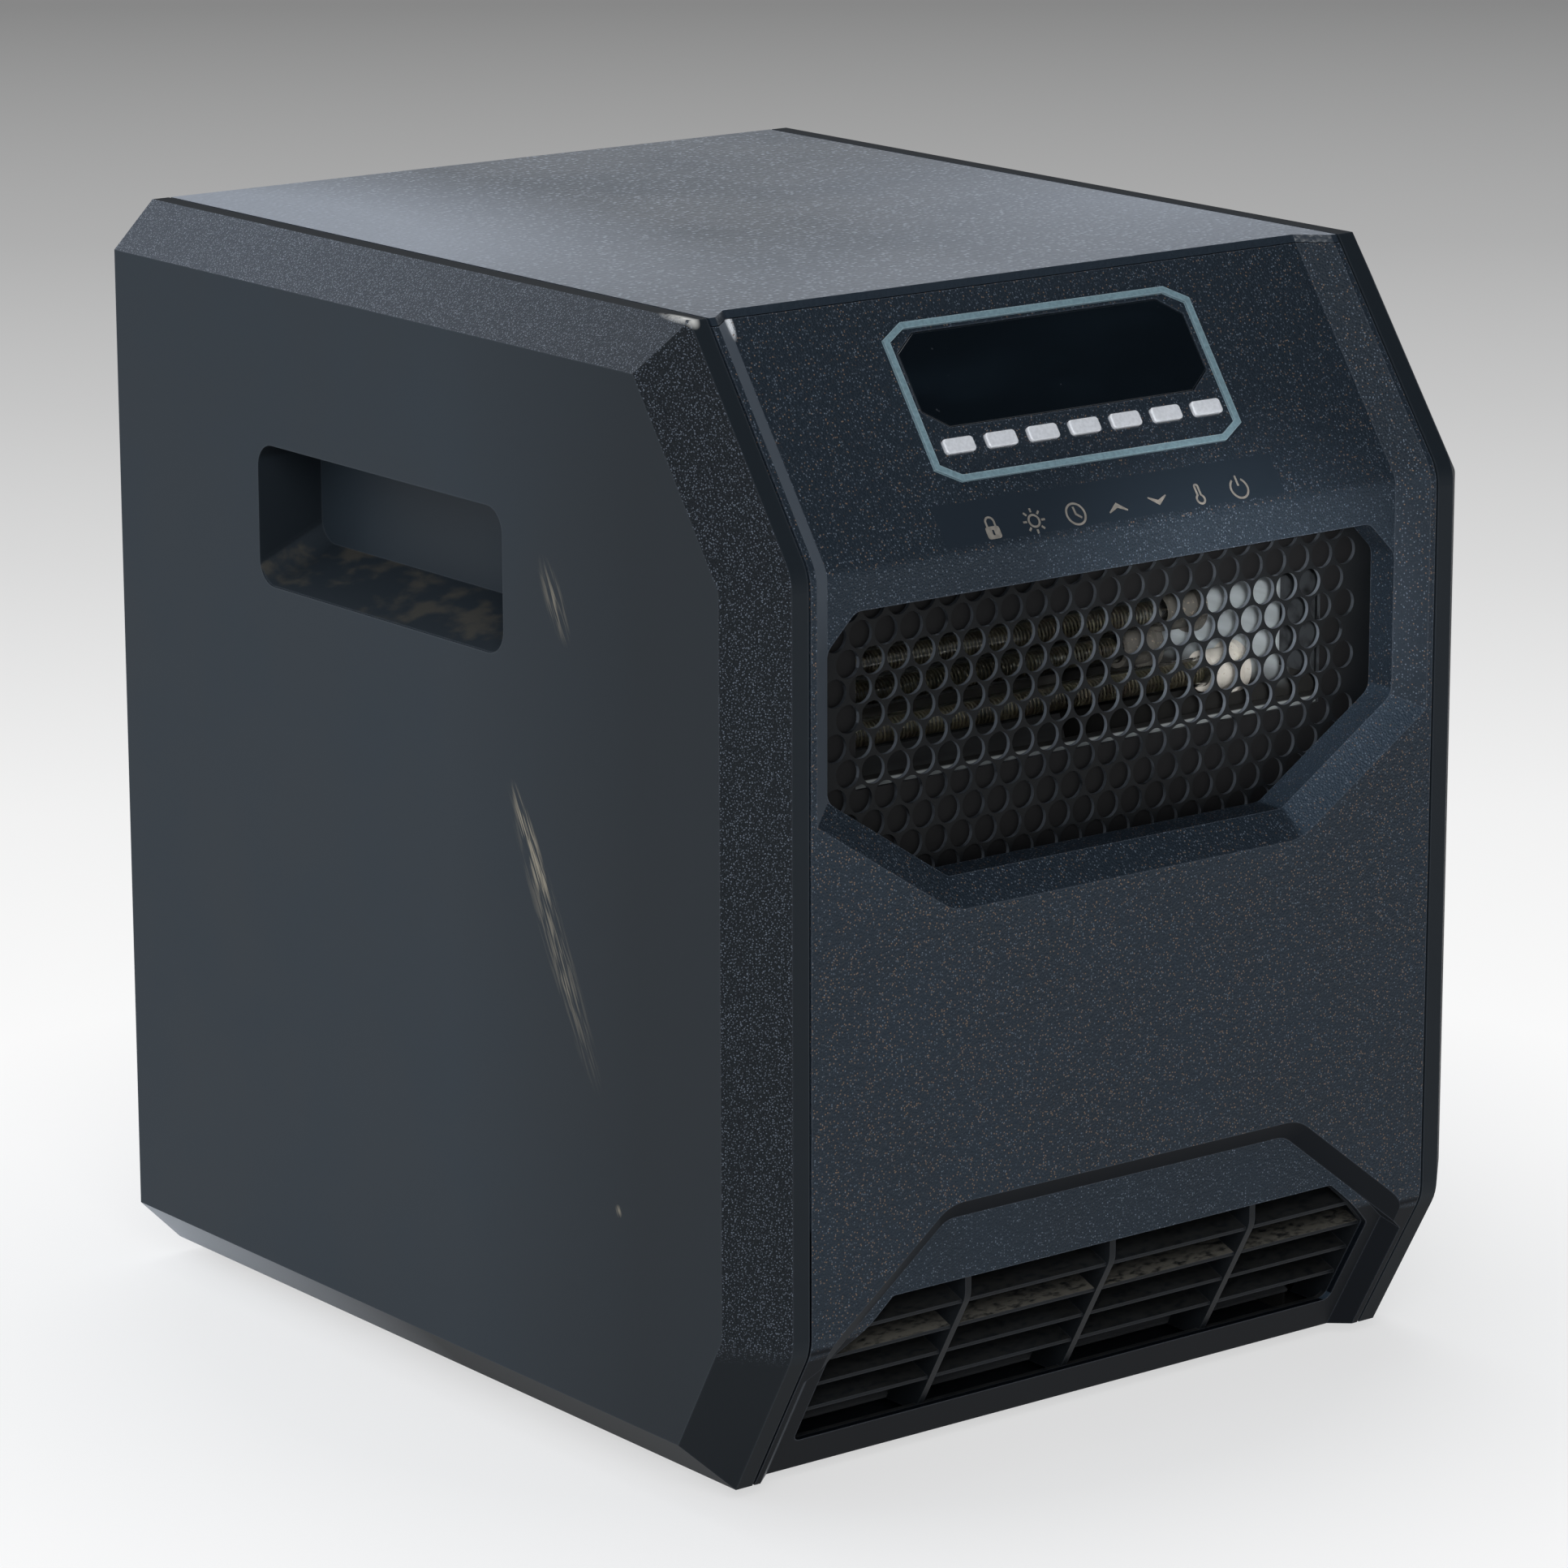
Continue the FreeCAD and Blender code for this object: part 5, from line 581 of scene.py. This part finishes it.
def laminate_board():
    """Glass-fibre board under green solder resist, with the weave of the glass and paler tracks."""
    made = Finish("glass_fibre_board", linear("#11472c"), 0.3)
    tree = made.tree
    weave = node(tree, "TexWave", {"Vector": made.place, "Scale": 160.0, "Distortion": 1.5}, 1)
    made.coat(weave, linear("#1a5c3a"), 0.4)
    tracks = node(tree, "TexBrick", {"Vector": made.place, "Scale": 40.0, "Mortar Size": 0.04}, 1)
    made.coat(tracks, linear("#2f7a50"), 0.3, 0.5)
    return made.done(node(tree, "Bump", {"Height": weave, "Distance": 0.00003, "Strength": 0.4}))


def moulded_rubber():
    """Moulded rubber: dull, bloomed grey in patches, slightly pebbled."""
    made = Finish("moulded_rubber", linear("#18181a"), 0.75)
    made.coat(clouds(made, 0.01, 0.3, 0.7, detail=4.0), linear("#2c2c2e"), 0.88)
    return made.done(pebbles(made, FINE, 0.0002, 0.6)[0])


def net_thread():
    """Woven polyester thread of the filter net, with lint caught in it."""
    made = Finish("woven_polyester_net", linear("#191a1c"), 0.7)
    made.coat(clouds(made, 0.002, 0.3, 0.7), linear("#2a2b2e"), 0.8)
    made.coat(clouds(made, 0.018, 0.52, 0.75, 0.55, detail=5.0), linear("#77726a"), 0.95)
    fibre = clouds(made, FINE, 0.2, 0.8)
    return made.done(node(made.tree, "Bump", {"Height": fibre, "Distance": 0.00005, "Strength": 0.5}))


def dress(material, *names):
    """Gives CAD nodes a material in place of the plain one they came with."""
    for name in names:
        mesh = frame["nodes"][name].data
        mesh.materials.clear()
        mesh.materials.append(material)


def grid_faces(rows, cols, wrap_rows=False, wrap_cols=False):
    """Quads of a grid of rows by cols points, joined end to start in a direction that wraps."""
    row = np.arange(rows if wrap_rows else rows - 1)
    col = np.arange(cols if wrap_cols else cols - 1)
    a, b = np.meshgrid(row, col, indexing="ij")
    after_a = (a + 1) % rows
    after_b = (b + 1) % cols
    corners = [a * cols + b, after_a * cols + b, after_a * cols + after_b, a * cols + after_b]
    return np.stack(corners, -1).reshape(-1, 4)


def closing_quads(cols):
    """Quads that fill one ring of an even number of points, in strips from side to side."""
    i = np.arange(cols // 2 - 1)
    return np.stack([i, i + 1, cols - 2 - i, cols - 1 - i], -1)


def rod(points, wrap=False):
    """Patch of a profile carried along a path, (rows, cols, 3): its sides, and ends where it doesn't wrap.

    Its faces are turned round if the volume they enclose, a third of the sum of area times distance, is
    negative.
    """
    rows, cols = points.shape[:2]
    faces = grid_faces(rows, cols, wrap, True)
    if not wrap:
        ends = closing_quads(cols)
        faces = np.concatenate([faces, ends, ends[:, ::-1] + (rows - 1) * cols])
    flat = points.reshape(-1, 3)
    a, b, c, d = (flat[faces[:, k]] - flat.mean(0) for k in range(4))
    if np.sum(a * (np.cross(b, c) + np.cross(c, d))) < 0:
        faces = faces[:, ::-1]
    return flat, faces


def piece(name, patches, body, material, smooth=True):
    """One mesh object from patches of points and quads, riding on a body."""
    starts = np.cumsum([0] + [len(points) for points, faces in patches[:-1]])
    points = np.concatenate([points for points, faces in patches])
    faces = np.concatenate([patch[1] + start for start, patch in zip(starts, patches)])
    mesh = bpy.data.meshes.new(name)
    mesh.from_pydata(points.tolist(), [], faces.tolist())
    mesh.polygons.foreach_set("use_smooth", np.full(len(faces), smooth))
    mesh.materials.append(material)
    mesh.validate()
    made = bpy.data.objects.new(name, mesh)
    bpy.context.scene.collection.objects.link(made)
    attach(made, body)
    return made


def on_panel(across, up, lift):
    """Points on the sunk front surface: straight up, round its bend and up its slope, raised off it.

    'up' runs along the surface from the upper end of the bend, below nought round it and down the front.
    """
    radius = BEND_RADIUS - SUNK_DEPTH
    turn = np.clip(SLOPE_LEAN + up / radius, 0, SLOPE_LEAN)
    beyond = np.where(up > 0, up, np.minimum(up + radius * SLOPE_LEAN, 0))
    centre_y = FRONT + BEND_RADIUS
    centre_z = UPPER_BEND - BEND_RADIUS * math.tan(SLOPE_LEAN / 2)
    y = centre_y - (radius + lift) * np.cos(turn) + beyond * np.sin(turn)
    z = centre_z + (radius + lift) * np.sin(turn) + beyond * np.cos(turn)
    return np.stack([across, y, z], -1)


def printed_band(left, right, middle, wrap=False):
    """Patch of a print between two edges in millimetres, a tenth of one thick, about a middle."""
    edges = np.stack([left, left, right, right], 1) * MM
    lift = np.array([-0.05, 0.1, 0.1, -0.05]) * MM + np.zeros(edges.shape[:2])
    return rod(on_panel(middle[0] + edges[..., 0], middle[1] + edges[..., 1], lift), wrap)


def stroke(path, width, middle, wrap=False):
    """Patch of a printed line: edges half a width to each side of a path, along its normals."""
    if wrap:
        along = np.roll(path, -1, 0) - np.roll(path, 1, 0)
    else:
        along = np.gradient(path, axis=0)
    sideways = along[:, ::-1] * (-1, 1) / np.linalg.norm(along, axis=1, keepdims=True)
    return printed_band(path + sideways * width / 2, path - sideways * width / 2, middle, wrap)


def arc(centre, radius, start, end, count):
    """Points on a circle between two angles in degrees, the end left out where it meets the start."""
    angle = np.radians(np.linspace(start, end, count, endpoint=abs(end - start) < 360))
    return np.asarray(centre) + radius * np.stack([np.cos(angle), np.sin(angle)], -1)


def soft_box(centre, width, height, count=32):
    """A rectangle with soft corners: a superellipse of the sixth power."""
    angle = np.linspace(0, 2 * np.pi, count, endpoint=False)
    cos, sin = np.cos(angle), np.sin(angle)
    size = (cos ** 6 + sin ** 6) ** (-1 / 6)
    return np.asarray(centre) + np.stack([cos * width, sin * height], -1) * size[:, None] / 2


def line(*points):
    """Points through given ones, nine to each straight run."""
    corners = np.asarray(points, float)
    share = np.linspace(0, len(corners) - 1, 8 * (len(corners) - 1) + 1)
    return np.stack([np.interp(share, np.arange(len(corners)), corners[:, k]) for k in (0, 1)], -1)


def symbol_patches(name, width, middle):
    """Patches of one symbol, about 9 mm high, drawn in millimetres about its middle."""
    if name == "lock":
        shackle = np.concatenate([[(1.75, 0.2)], arc((0, 2.1), 1.75, 0, 180, 17), [(-1.75, 0.2)]])
        body = printed_band(soft_box((0, -1.8), 5.9, 4.6), soft_box((0, -1.8), 0.9, 2.0), middle, True)
        return [body, stroke(shackle, width, middle)]
    if name == "light":
        ways = [(math.cos(a), math.sin(a)) for a in np.radians(np.arange(0, 360, 45))]
        rays = [stroke(line(*np.outer((3.2, 4.7), way)), width, middle) for way in ways]
        return [stroke(arc((0, 0), 2.2, 0, 360, 32), width, middle, True)] + rays
    if name == "timer":
        hands = [line((-0.2, 2.7), (0, -0.3)), line((-0.2, 0.1), (2.0, -1.6))]
        face = stroke(arc((0, 0), 3.9, 0, 360, 40), width, middle, True)
        return [face] + [stroke(hand, width, middle) for hand in hands]
    if name in ("up", "down"):
        way = 1 if name == "up" else -1
        tip = line((-4.1, -1.4 * way), (0, 1.7 * way), (4.1, -1.4 * way))
        hollow = line((-3.9, -1.8 * way), (0, -0.2 * way), (3.9, -1.8 * way))
        return [printed_band(tip, hollow, middle)]
    if name == "temperature":
        stem, bulb = 0.75, 1.7
        meet = math.degrees(math.acos(stem / bulb))
        top = arc((0, 2.8), stem, 0, 180, 11)
        outline = np.concatenate([top, arc((0, -2.0), bulb, 180 - meet, 360 + meet, 28)])
        return [stroke(outline, width, middle, True)]
    ring = stroke(arc((0, -0.3), 3.7, 122, 418, 40), width, middle)
    return [ring, stroke(line((0, 4.5), (0, 0.6)), width, middle)]


def coil_patch(middle, reach, pitch, wire, sides=6):
    """Patch of one heating coil: a helix about X whose radius shrinks to a straight lead at both ends.

    A ring of points stands square to the helix at each step: its two axes are the radius and the cross
    product of the radius and the way of the wire.
    """
    radius = TUBE_RADIUS - TUBE_WALL - wire / 2
    lead = 0.009
    wound = reach - lead
    turns = round(2 * wound / pitch)
    steps = 14 * turns
    x = np.concatenate([np.linspace(-reach, -wound, 6)[:-1], np.linspace(-wound, wound, steps),
                        np.linspace(wound, reach, 6)[1:]])
    angle = 2 * np.pi * turns * np.clip((x + wound) / (2 * wound), 0, 1)
    share = np.clip((reach - np.abs(x)) / (1.5 * lead), 0, 1)
    bow = radius * share ** 2 * (3 - 2 * share)
    outward = np.stack([np.zeros_like(angle), np.cos(angle), np.sin(angle)], -1)
    path = np.asarray(middle) + bow[:, None] * outward
    path[:, 0] += x
    way = np.gradient(path, axis=0)
    side = np.cross(way, outward)
    side /= np.linalg.norm(side, axis=1, keepdims=True)
    ring = 2 * np.pi * np.arange(sides) / sides
    spread = np.cos(ring)[:, None] * outward[:, None] + np.sin(ring)[:, None] * side[:, None]
    return rod(path[:, None] + spread * wire / 2)


def thread_patches(low, high, pitch, thread, along):
    """Patches of the net's threads along one axis: a cosine in Y, up at one crossing, down at the next."""
    over = 2 - along
    run = np.arange(low[along] + pitch / 2, high[along] - pitch / 4, pitch / 2)
    rows = np.arange(low[over] + pitch / 2, high[over] - pitch / 4, pitch)
    way = (-1.0) ** (np.arange(len(rows)) + along // 2)
    wave = way[:, None] * np.cos(np.pi * (run - run[0]) / pitch) * thread * 0.6
    ring = np.array([(1, 0), (0, 1), (-1, 0), (0, -1)]) * thread / 2
    points = np.zeros((len(rows), len(run), 4, 3))
    points[..., along] = run[None, :, None]
    points[..., over] = rows[:, None, None] + ring[:, 0]
    points[..., 1] = (low[1] + high[1]) / 2 + wave[..., None] + ring[:, 1]
    return [rod(one) for one in points]


class HEATER_OT_finish_cabinet(bpy.types.Operator):
    """Finish the shells, panels, grille and outlet"""
    bl_idname = "heater.finish_cabinet"
    bl_label = "Finish the cabinet"

    def execute(self, context):
        tones = context.scene.heater_colours
        sizes = context.scene.heater_sizes
        dress(moulded_shell(tones.shell, tones.dust, sizes.strip_grain),
              "left_side_shell", "right_side_shell")
        dress(glint_painted_panel(tones.panel, sizes.panel_grain), "front_panel")
        dress(dusty_top(tones.panel, tones.dust, sizes.top_grain), "top_panel")
        dress(moulded_plain("moulded_abs_rear", tones.rear), "back_panel", "base_pan", "filter_cassette")
        dress(moulded_plain("moulded_nylon", tones.rear, 0.42), "rocker_housing", "rocker", "cord_gland")
        dress(dusty_slats(tones.louvre, tones.dust), "outlet_louvre")
        dress(coated_steel("coated_steel_grille", tones.grille, 0.5, linear("#3f4348"), HIGHLIGHT_ROWS),
              "perforated_grille")
        dress(coated_steel("heatproof_coated_steel", linear("#0b0b0c"), 0.6, linear("#36393c")),
              "window_frame")
        dress(moulded_rubber(), "rubber_feet")
        return {"FINISHED"}


class HEATER_OT_finish_controls(bpy.types.Operator):
    """Finish the display and the buttons"""
    bl_idname = "heater.finish_controls"
    bl_label = "Finish the controls"

    def execute(self, context):
        tones = context.scene.heater_colours
        dress(satin_ring(tones.ring), "bezel_ring")
        dress(gloss_lens(), "display_lens")
        dress(silvered_button(tones.button), *[name + "_button" for name in SYMBOLS])
        return {"FINISHED"}


class HEATER_OT_finish_inside(bpy.types.Operator):
    """Finish the parts inside the cabinet"""
    bl_idname = "heater.finish_inside"
    bl_label = "Finish the inside"

    def execute(self, context):
        dress(rolled_metal("rolled_aluminium", "#d6d6d2", 0.36, metallic=0.8),
              "roof_reflector", "rear_reflector")
        dress(rolled_metal("heat_dulled_aluminium", "#e0e6e6", 0.5, metallic=0.3, painted_shade_places=DUCT_SHADE),
              "front_duct")
        dress(rolled_metal("zinc_phosphated_steel", "#aab2b6", 0.5, (1, 12, 1), 0.004, 0.3, PLATE_SHADE),
              "left_chassis_plate", "right_chassis_plate", "overheat_thermostat")
        dress(rolled_metal("dulled_steel", "#66686a", 0.6, metallic=0.3), "scroll_housing")
        dress(rolled_metal("pressed_aluminium", "#a9abad", 0.42), "crossflow_wheel")
        dress(rolled_metal("ground_steel", "#aaaaa8", 0.25, (1, 6, 6), 0.0012), "fan_shaft")
        dress(rolled_metal("turned_brass", "#c9a35c", 0.3, (1, 6, 6), 0.0012), "fan_bush")
        dress(rolled_metal("nickelled_steel", "#b3b1ab", 0.35), "element_terminals", "element_links")
        dress(rolled_metal("zinc_coated_screw", "#9d9d9a", 0.35, (1, 1, 1), 0.0012),
              "back_screws", "base_screws", "frame_screws", "board_screws", "chassis_screws", "motor_screws")
        dress(coated_steel("coated_motor_steel", linear("#3b3d40"), 0.4, linear("#4a4c50")), "fan_motor")
        dress(clear_quartz(), "quartz_tubes")
        dress(pressed_ceramic(), "ceramic_caps", "thermal_fuse")
        dress(laminate_board(), "control_board", "power_board")
        dress(moulded_plain("moulded_phenolic", linear("#25262a")), "tact_switches", "display_module",
              "tip_over_switch", "room_sensor")
        dress(moulded_plain("moulded_polyester_case", linear("#2c3a55"), 0.4), "relays")
        dress(moulded_plain("moulded_polyamide_green", linear("#4d7a5c"), 0.45), "terminal_block")
        dress(moulded_plain("shrunk_sleeve", linear("#2b3350"), 0.25), "capacitor")
        return {"FINISHED"}


class HEATER_OT_print_symbols(bpy.types.Operator):
    """Print a symbol under each button"""
    bl_idname = "heater.print_symbols"
    bl_label = "Print the symbols"

    def execute(self, context):
        sizes = context.scene.heater_sizes
        ink = printed_ink(context.scene.heater_colours.symbol)
        for name in SYMBOLS:
            low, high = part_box(name + "_button")
            middle = ((low.x + high.x) / 2, sizes.symbol_place)
            patches = symbol_patches(name, sizes.symbol_stroke / MM, middle)
            piece(name + "_symbol", patches, "cabinet", ink, smooth=False)
        return {"FINISHED"}


class HEATER_OT_wind_coils(bpy.types.Operator):
    """Wind the heating coils in the quartz tubes"""
    bl_idname = "heater.wind_coils"
    bl_label = "Wind the heating coils"

    def execute(self, context):
        sizes = context.scene.heater_sizes
        low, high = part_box("quartz_tubes")
        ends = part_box("heating_coils")
        wire = heated_wire()
        count = 4
        across = np.linspace(low.y + TUBE_RADIUS, high.y - TUBE_RADIUS, count)
        for number, y in enumerate(across):
            z = high.z - TUBE_RADIUS if number % 2 else low.z + TUBE_RADIUS
            patch = coil_patch((0, y, z), ends[1].x, sizes.coil_pitch, sizes.coil_wire)
            made = piece(f"heating_coil_{number + 1}", [patch], "cabinet", wire)
            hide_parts("heating_coils")
        return {"FINISHED"}


class HEATER_OT_weave_net(bpy.types.Operator):
    """Weave the net of the intake filter"""
    bl_idname = "heater.weave_net"
    bl_label = "Weave the filter net"

    def execute(self, context):
        sizes = context.scene.heater_sizes
        low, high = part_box("filter_mesh")
        patches = [patch for along in (0, 2)
                   for patch in thread_patches(low, high, sizes.net_pitch, sizes.net_thread, along)]
        made = piece("filter_net", patches, "filter", net_thread())
        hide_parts("filter_mesh")
        return {"FINISHED"}


def seen_rays(tree):
    """One for rays that show the backdrop: straight from the camera, mirrored or through glass."""
    rays = node(tree, "LightPath").node.outputs
    mirrored = node(tree, "Math", {0: rays["Is Camera Ray"], 1: rays["Is Glossy Ray"]}, operation="MAXIMUM")
    return node(tree, "Math", {0: mirrored, 1: rays["Is Transmission Ray"]}, operation="MAXIMUM")


def floor_material(base):
    """Paper backdrop: white, darker far behind the heater, and close to it with a share for its shadow."""
    material = bpy.data.materials.new("paper_backdrop")
    material.use_nodes = True
    tree = material.node_tree
    tree.nodes.remove(tree.nodes["Principled BSDF"])
    place = node(tree, "TexCoord", out="Object")
    behind = node(tree, "VectorMath", {0: place, 1: AWAY}, "Value", operation="DOT_PRODUCT")
    share = node(tree, "MapRange", {"Value": behind, "From Max": 4.0})
    tone = node(tree, "ValToRGB", {0: share})
    near, far = tone.node.color_ramp.elements
    near.position, near.color = 0.05, base
    far.position, far.color = 0.97, shade(base, 0.248)
    for position, level in ((0.185, 0.9), (0.325, 0.715), (0.45, 0.578), (0.615, 0.435)):
        tone.node.color_ramp.elements.new(position).color = shade(base, level)
    paper = node(tree, "BsdfDiffuse", {"Color": tone})
    glow = node(tree, "Emission", {"Color": tone})
    apart = node(tree, "VectorMath", {0: place}, "Value", operation="LENGTH")
    glowing = node(tree, "MapRange", {
        "Value": apart, "From Min": 0.22, "From Max": 0.48, "To Min": 0.6, "To Max": 0.96})
    part = node(tree, "Math", {0: seen_rays(tree), 1: glowing}, operation="MULTIPLY")
    both = node(tree, "MixShader", {0: part, 1: paper, 2: glow})
    tree.links.new(both, tree.nodes["Material Output"].inputs["Surface"])
    return material


def studio_world(strength):
    """Studio all round: pale, with a dark screen above and to the right of the front.

    To the camera it is as pale as the far floor below it: grey behind the heater, white before it.
    """
    world = bpy.data.worlds.new("studio")
    world.use_nodes = True
    tree = world.node_tree
    way = node(tree, "TexCoord", out="Generated")
    towards = node(tree, "VectorMath", {0: way, 1: FLAG}, "Value", operation="DOT_PRODUCT")
    share = node(tree, "MapRange", {"Value": towards, "From Min": 0.25, "From Max": 0.75})
    tone = node(tree, "Mix", {0: share, 6: linear("#e9eff7"), 7: linear("#3a4048")}, 2, data_type="RGBA")
    lit = node(tree, "Background", {"Color": tone, "Strength": strength})
    away = node(tree, "VectorMath", {0: way, 1: AWAY}, "Value", operation="DOT_PRODUCT")
    pale = node(tree, "MapRange", {
        "Value": away, "From Max": 0.3, "To Min": 1.0, "To Max": 0.238})
    shown = node(tree, "Background", {"Color": pale})
    camera_ray = node(tree, "LightPath", out="Is Camera Ray")
    both = node(tree, "MixShader", {0: camera_ray, 1: lit, 2: shown})
    tree.links.new(both, tree.nodes["World Output"].inputs["Surface"])
    return world


def hang(lamp, place, aim):
    """Hangs a lamp at a place, facing a point."""
    made = bpy.data.objects.new(lamp.name, lamp)
    made.location = place
    made.rotation_euler = (Vector(aim) - Vector(place)).to_track_quat("-Z", "Y").to_euler()
    bpy.context.scene.collection.objects.link(made)


def soft_lamp(name, place, aim, size, watts):
    """A square soft box that faces a point."""
    lamp = bpy.data.lights.new(name, "AREA")
    lamp.energy = watts
    lamp.size = size
    hang(lamp, place, aim)


def window_lamp(place, aim, watts):
    """A narrow beam that reaches through the grille's holes to the pale ends of the tubes."""
    lamp = bpy.data.lights.new("window_lamp", "SPOT")
    lamp.energy = watts
    lamp.spot_size = math.radians(1.6)
    lamp.spot_blend = 0.6
    lamp.shadow_soft_size = 0.05
    hang(lamp, place, aim)


class HEATER_OT_set_stage(bpy.types.Operator):
    """Set the floor, the light and the camera"""
    bl_idname = "heater.set_stage"
    bl_label = "Set the stage"

    def execute(self, context):
        scene = context.scene
        stage = scene.heater_stage
        side = 12.0
        corners = np.array([(-1, -1, 0), (1, -1, 0), (1, 1, 0), (-1, 1, 0)]) * side
        mesh = bpy.data.meshes.new("backdrop")
        mesh.from_pydata(corners.tolist(), [], [(0, 1, 2, 3)])
        mesh.materials.append(floor_material(stage.floor))
        backdrop = bpy.data.objects.new("backdrop", mesh)
        scene.collection.objects.link(backdrop)
        scene.world = studio_world(stage.surround)
        soft_lamp("overhead_soft_box", (0.25, 0.5, 2.2), (0, 0, 0.3), 1.4, stage.overhead)
        soft_lamp("key_soft_box", (-1.2, -1.8, 1.2), (0, 0, 0.25), 1.0, stage.key)
        window_lamp((-1.36, -1.82, 0.8), (0.122, -0.103, 0.267), stage.window)
        lens = bpy.data.cameras.new("camera")
        lens.lens = stage.lens
        lens.sensor_width = 36.0
        camera = bpy.data.objects.new("camera", lens)
        camera.location = stage.camera_place
        elevation, roll, azimuth = stage.camera_turn
        aim = Euler((math.pi / 2 - elevation, 0, azimuth)).to_quaternion()
        camera.rotation_euler = (aim @ Euler((0, 0, roll)).to_quaternion()).to_euler()
        scene.collection.objects.link(camera)
        scene.camera = camera
        scene.view_settings.view_transform = "Standard"
        return {"FINISHED"}


STEPS = (HEATER_OT_finish_cabinet, HEATER_OT_finish_controls, HEATER_OT_finish_inside,
         HEATER_OT_print_symbols, HEATER_OT_wind_coils, HEATER_OT_weave_net, HEATER_OT_set_stage)


class HEATER_PT_steps(bpy.types.Panel):
    """Steps and settings of the heater"""
    bl_idname = "HEATER_PT_steps"
    bl_label = "Quartz cabinet heater"
    bl_space_type = "VIEW_3D"
    bl_region_type = "UI"
    bl_category = "Heater"

    def draw(self, context):
        for group in (context.scene.heater_colours, context.scene.heater_sizes, context.scene.heater_stage):
            box = self.layout.box()
            for name in group.__annotations__:
                box.prop(group, name)
        for step in STEPS:
            self.layout.operator(step.bl_idname)


GROUPS = {"heater_colours": HeaterColours, "heater_sizes": HeaterSizes, "heater_stage": HeaterStage}


def register():
    for name, group in GROUPS.items():
        bpy.utils.register_class(group)
        setattr(bpy.types.Scene, name, bpy.props.PointerProperty(type=group))
    for made in (*STEPS, HEATER_PT_steps):
        bpy.utils.register_class(made)


def unregister():
    for made in (HEATER_PT_steps, *reversed(STEPS)):
        bpy.utils.unregister_class(made)
    for name, group in GROUPS.items():
        delattr(bpy.types.Scene, name)
        bpy.utils.unregister_class(group)


def main():
    register()
    bpy.ops.heater.finish_cabinet()
    bpy.ops.heater.finish_controls()
    bpy.ops.heater.finish_inside()
    bpy.ops.heater.print_symbols()
    bpy.ops.heater.wind_coils()
    bpy.ops.heater.weave_net()
    bpy.ops.heater.set_stage()


if __name__ == "__main__":
    main()
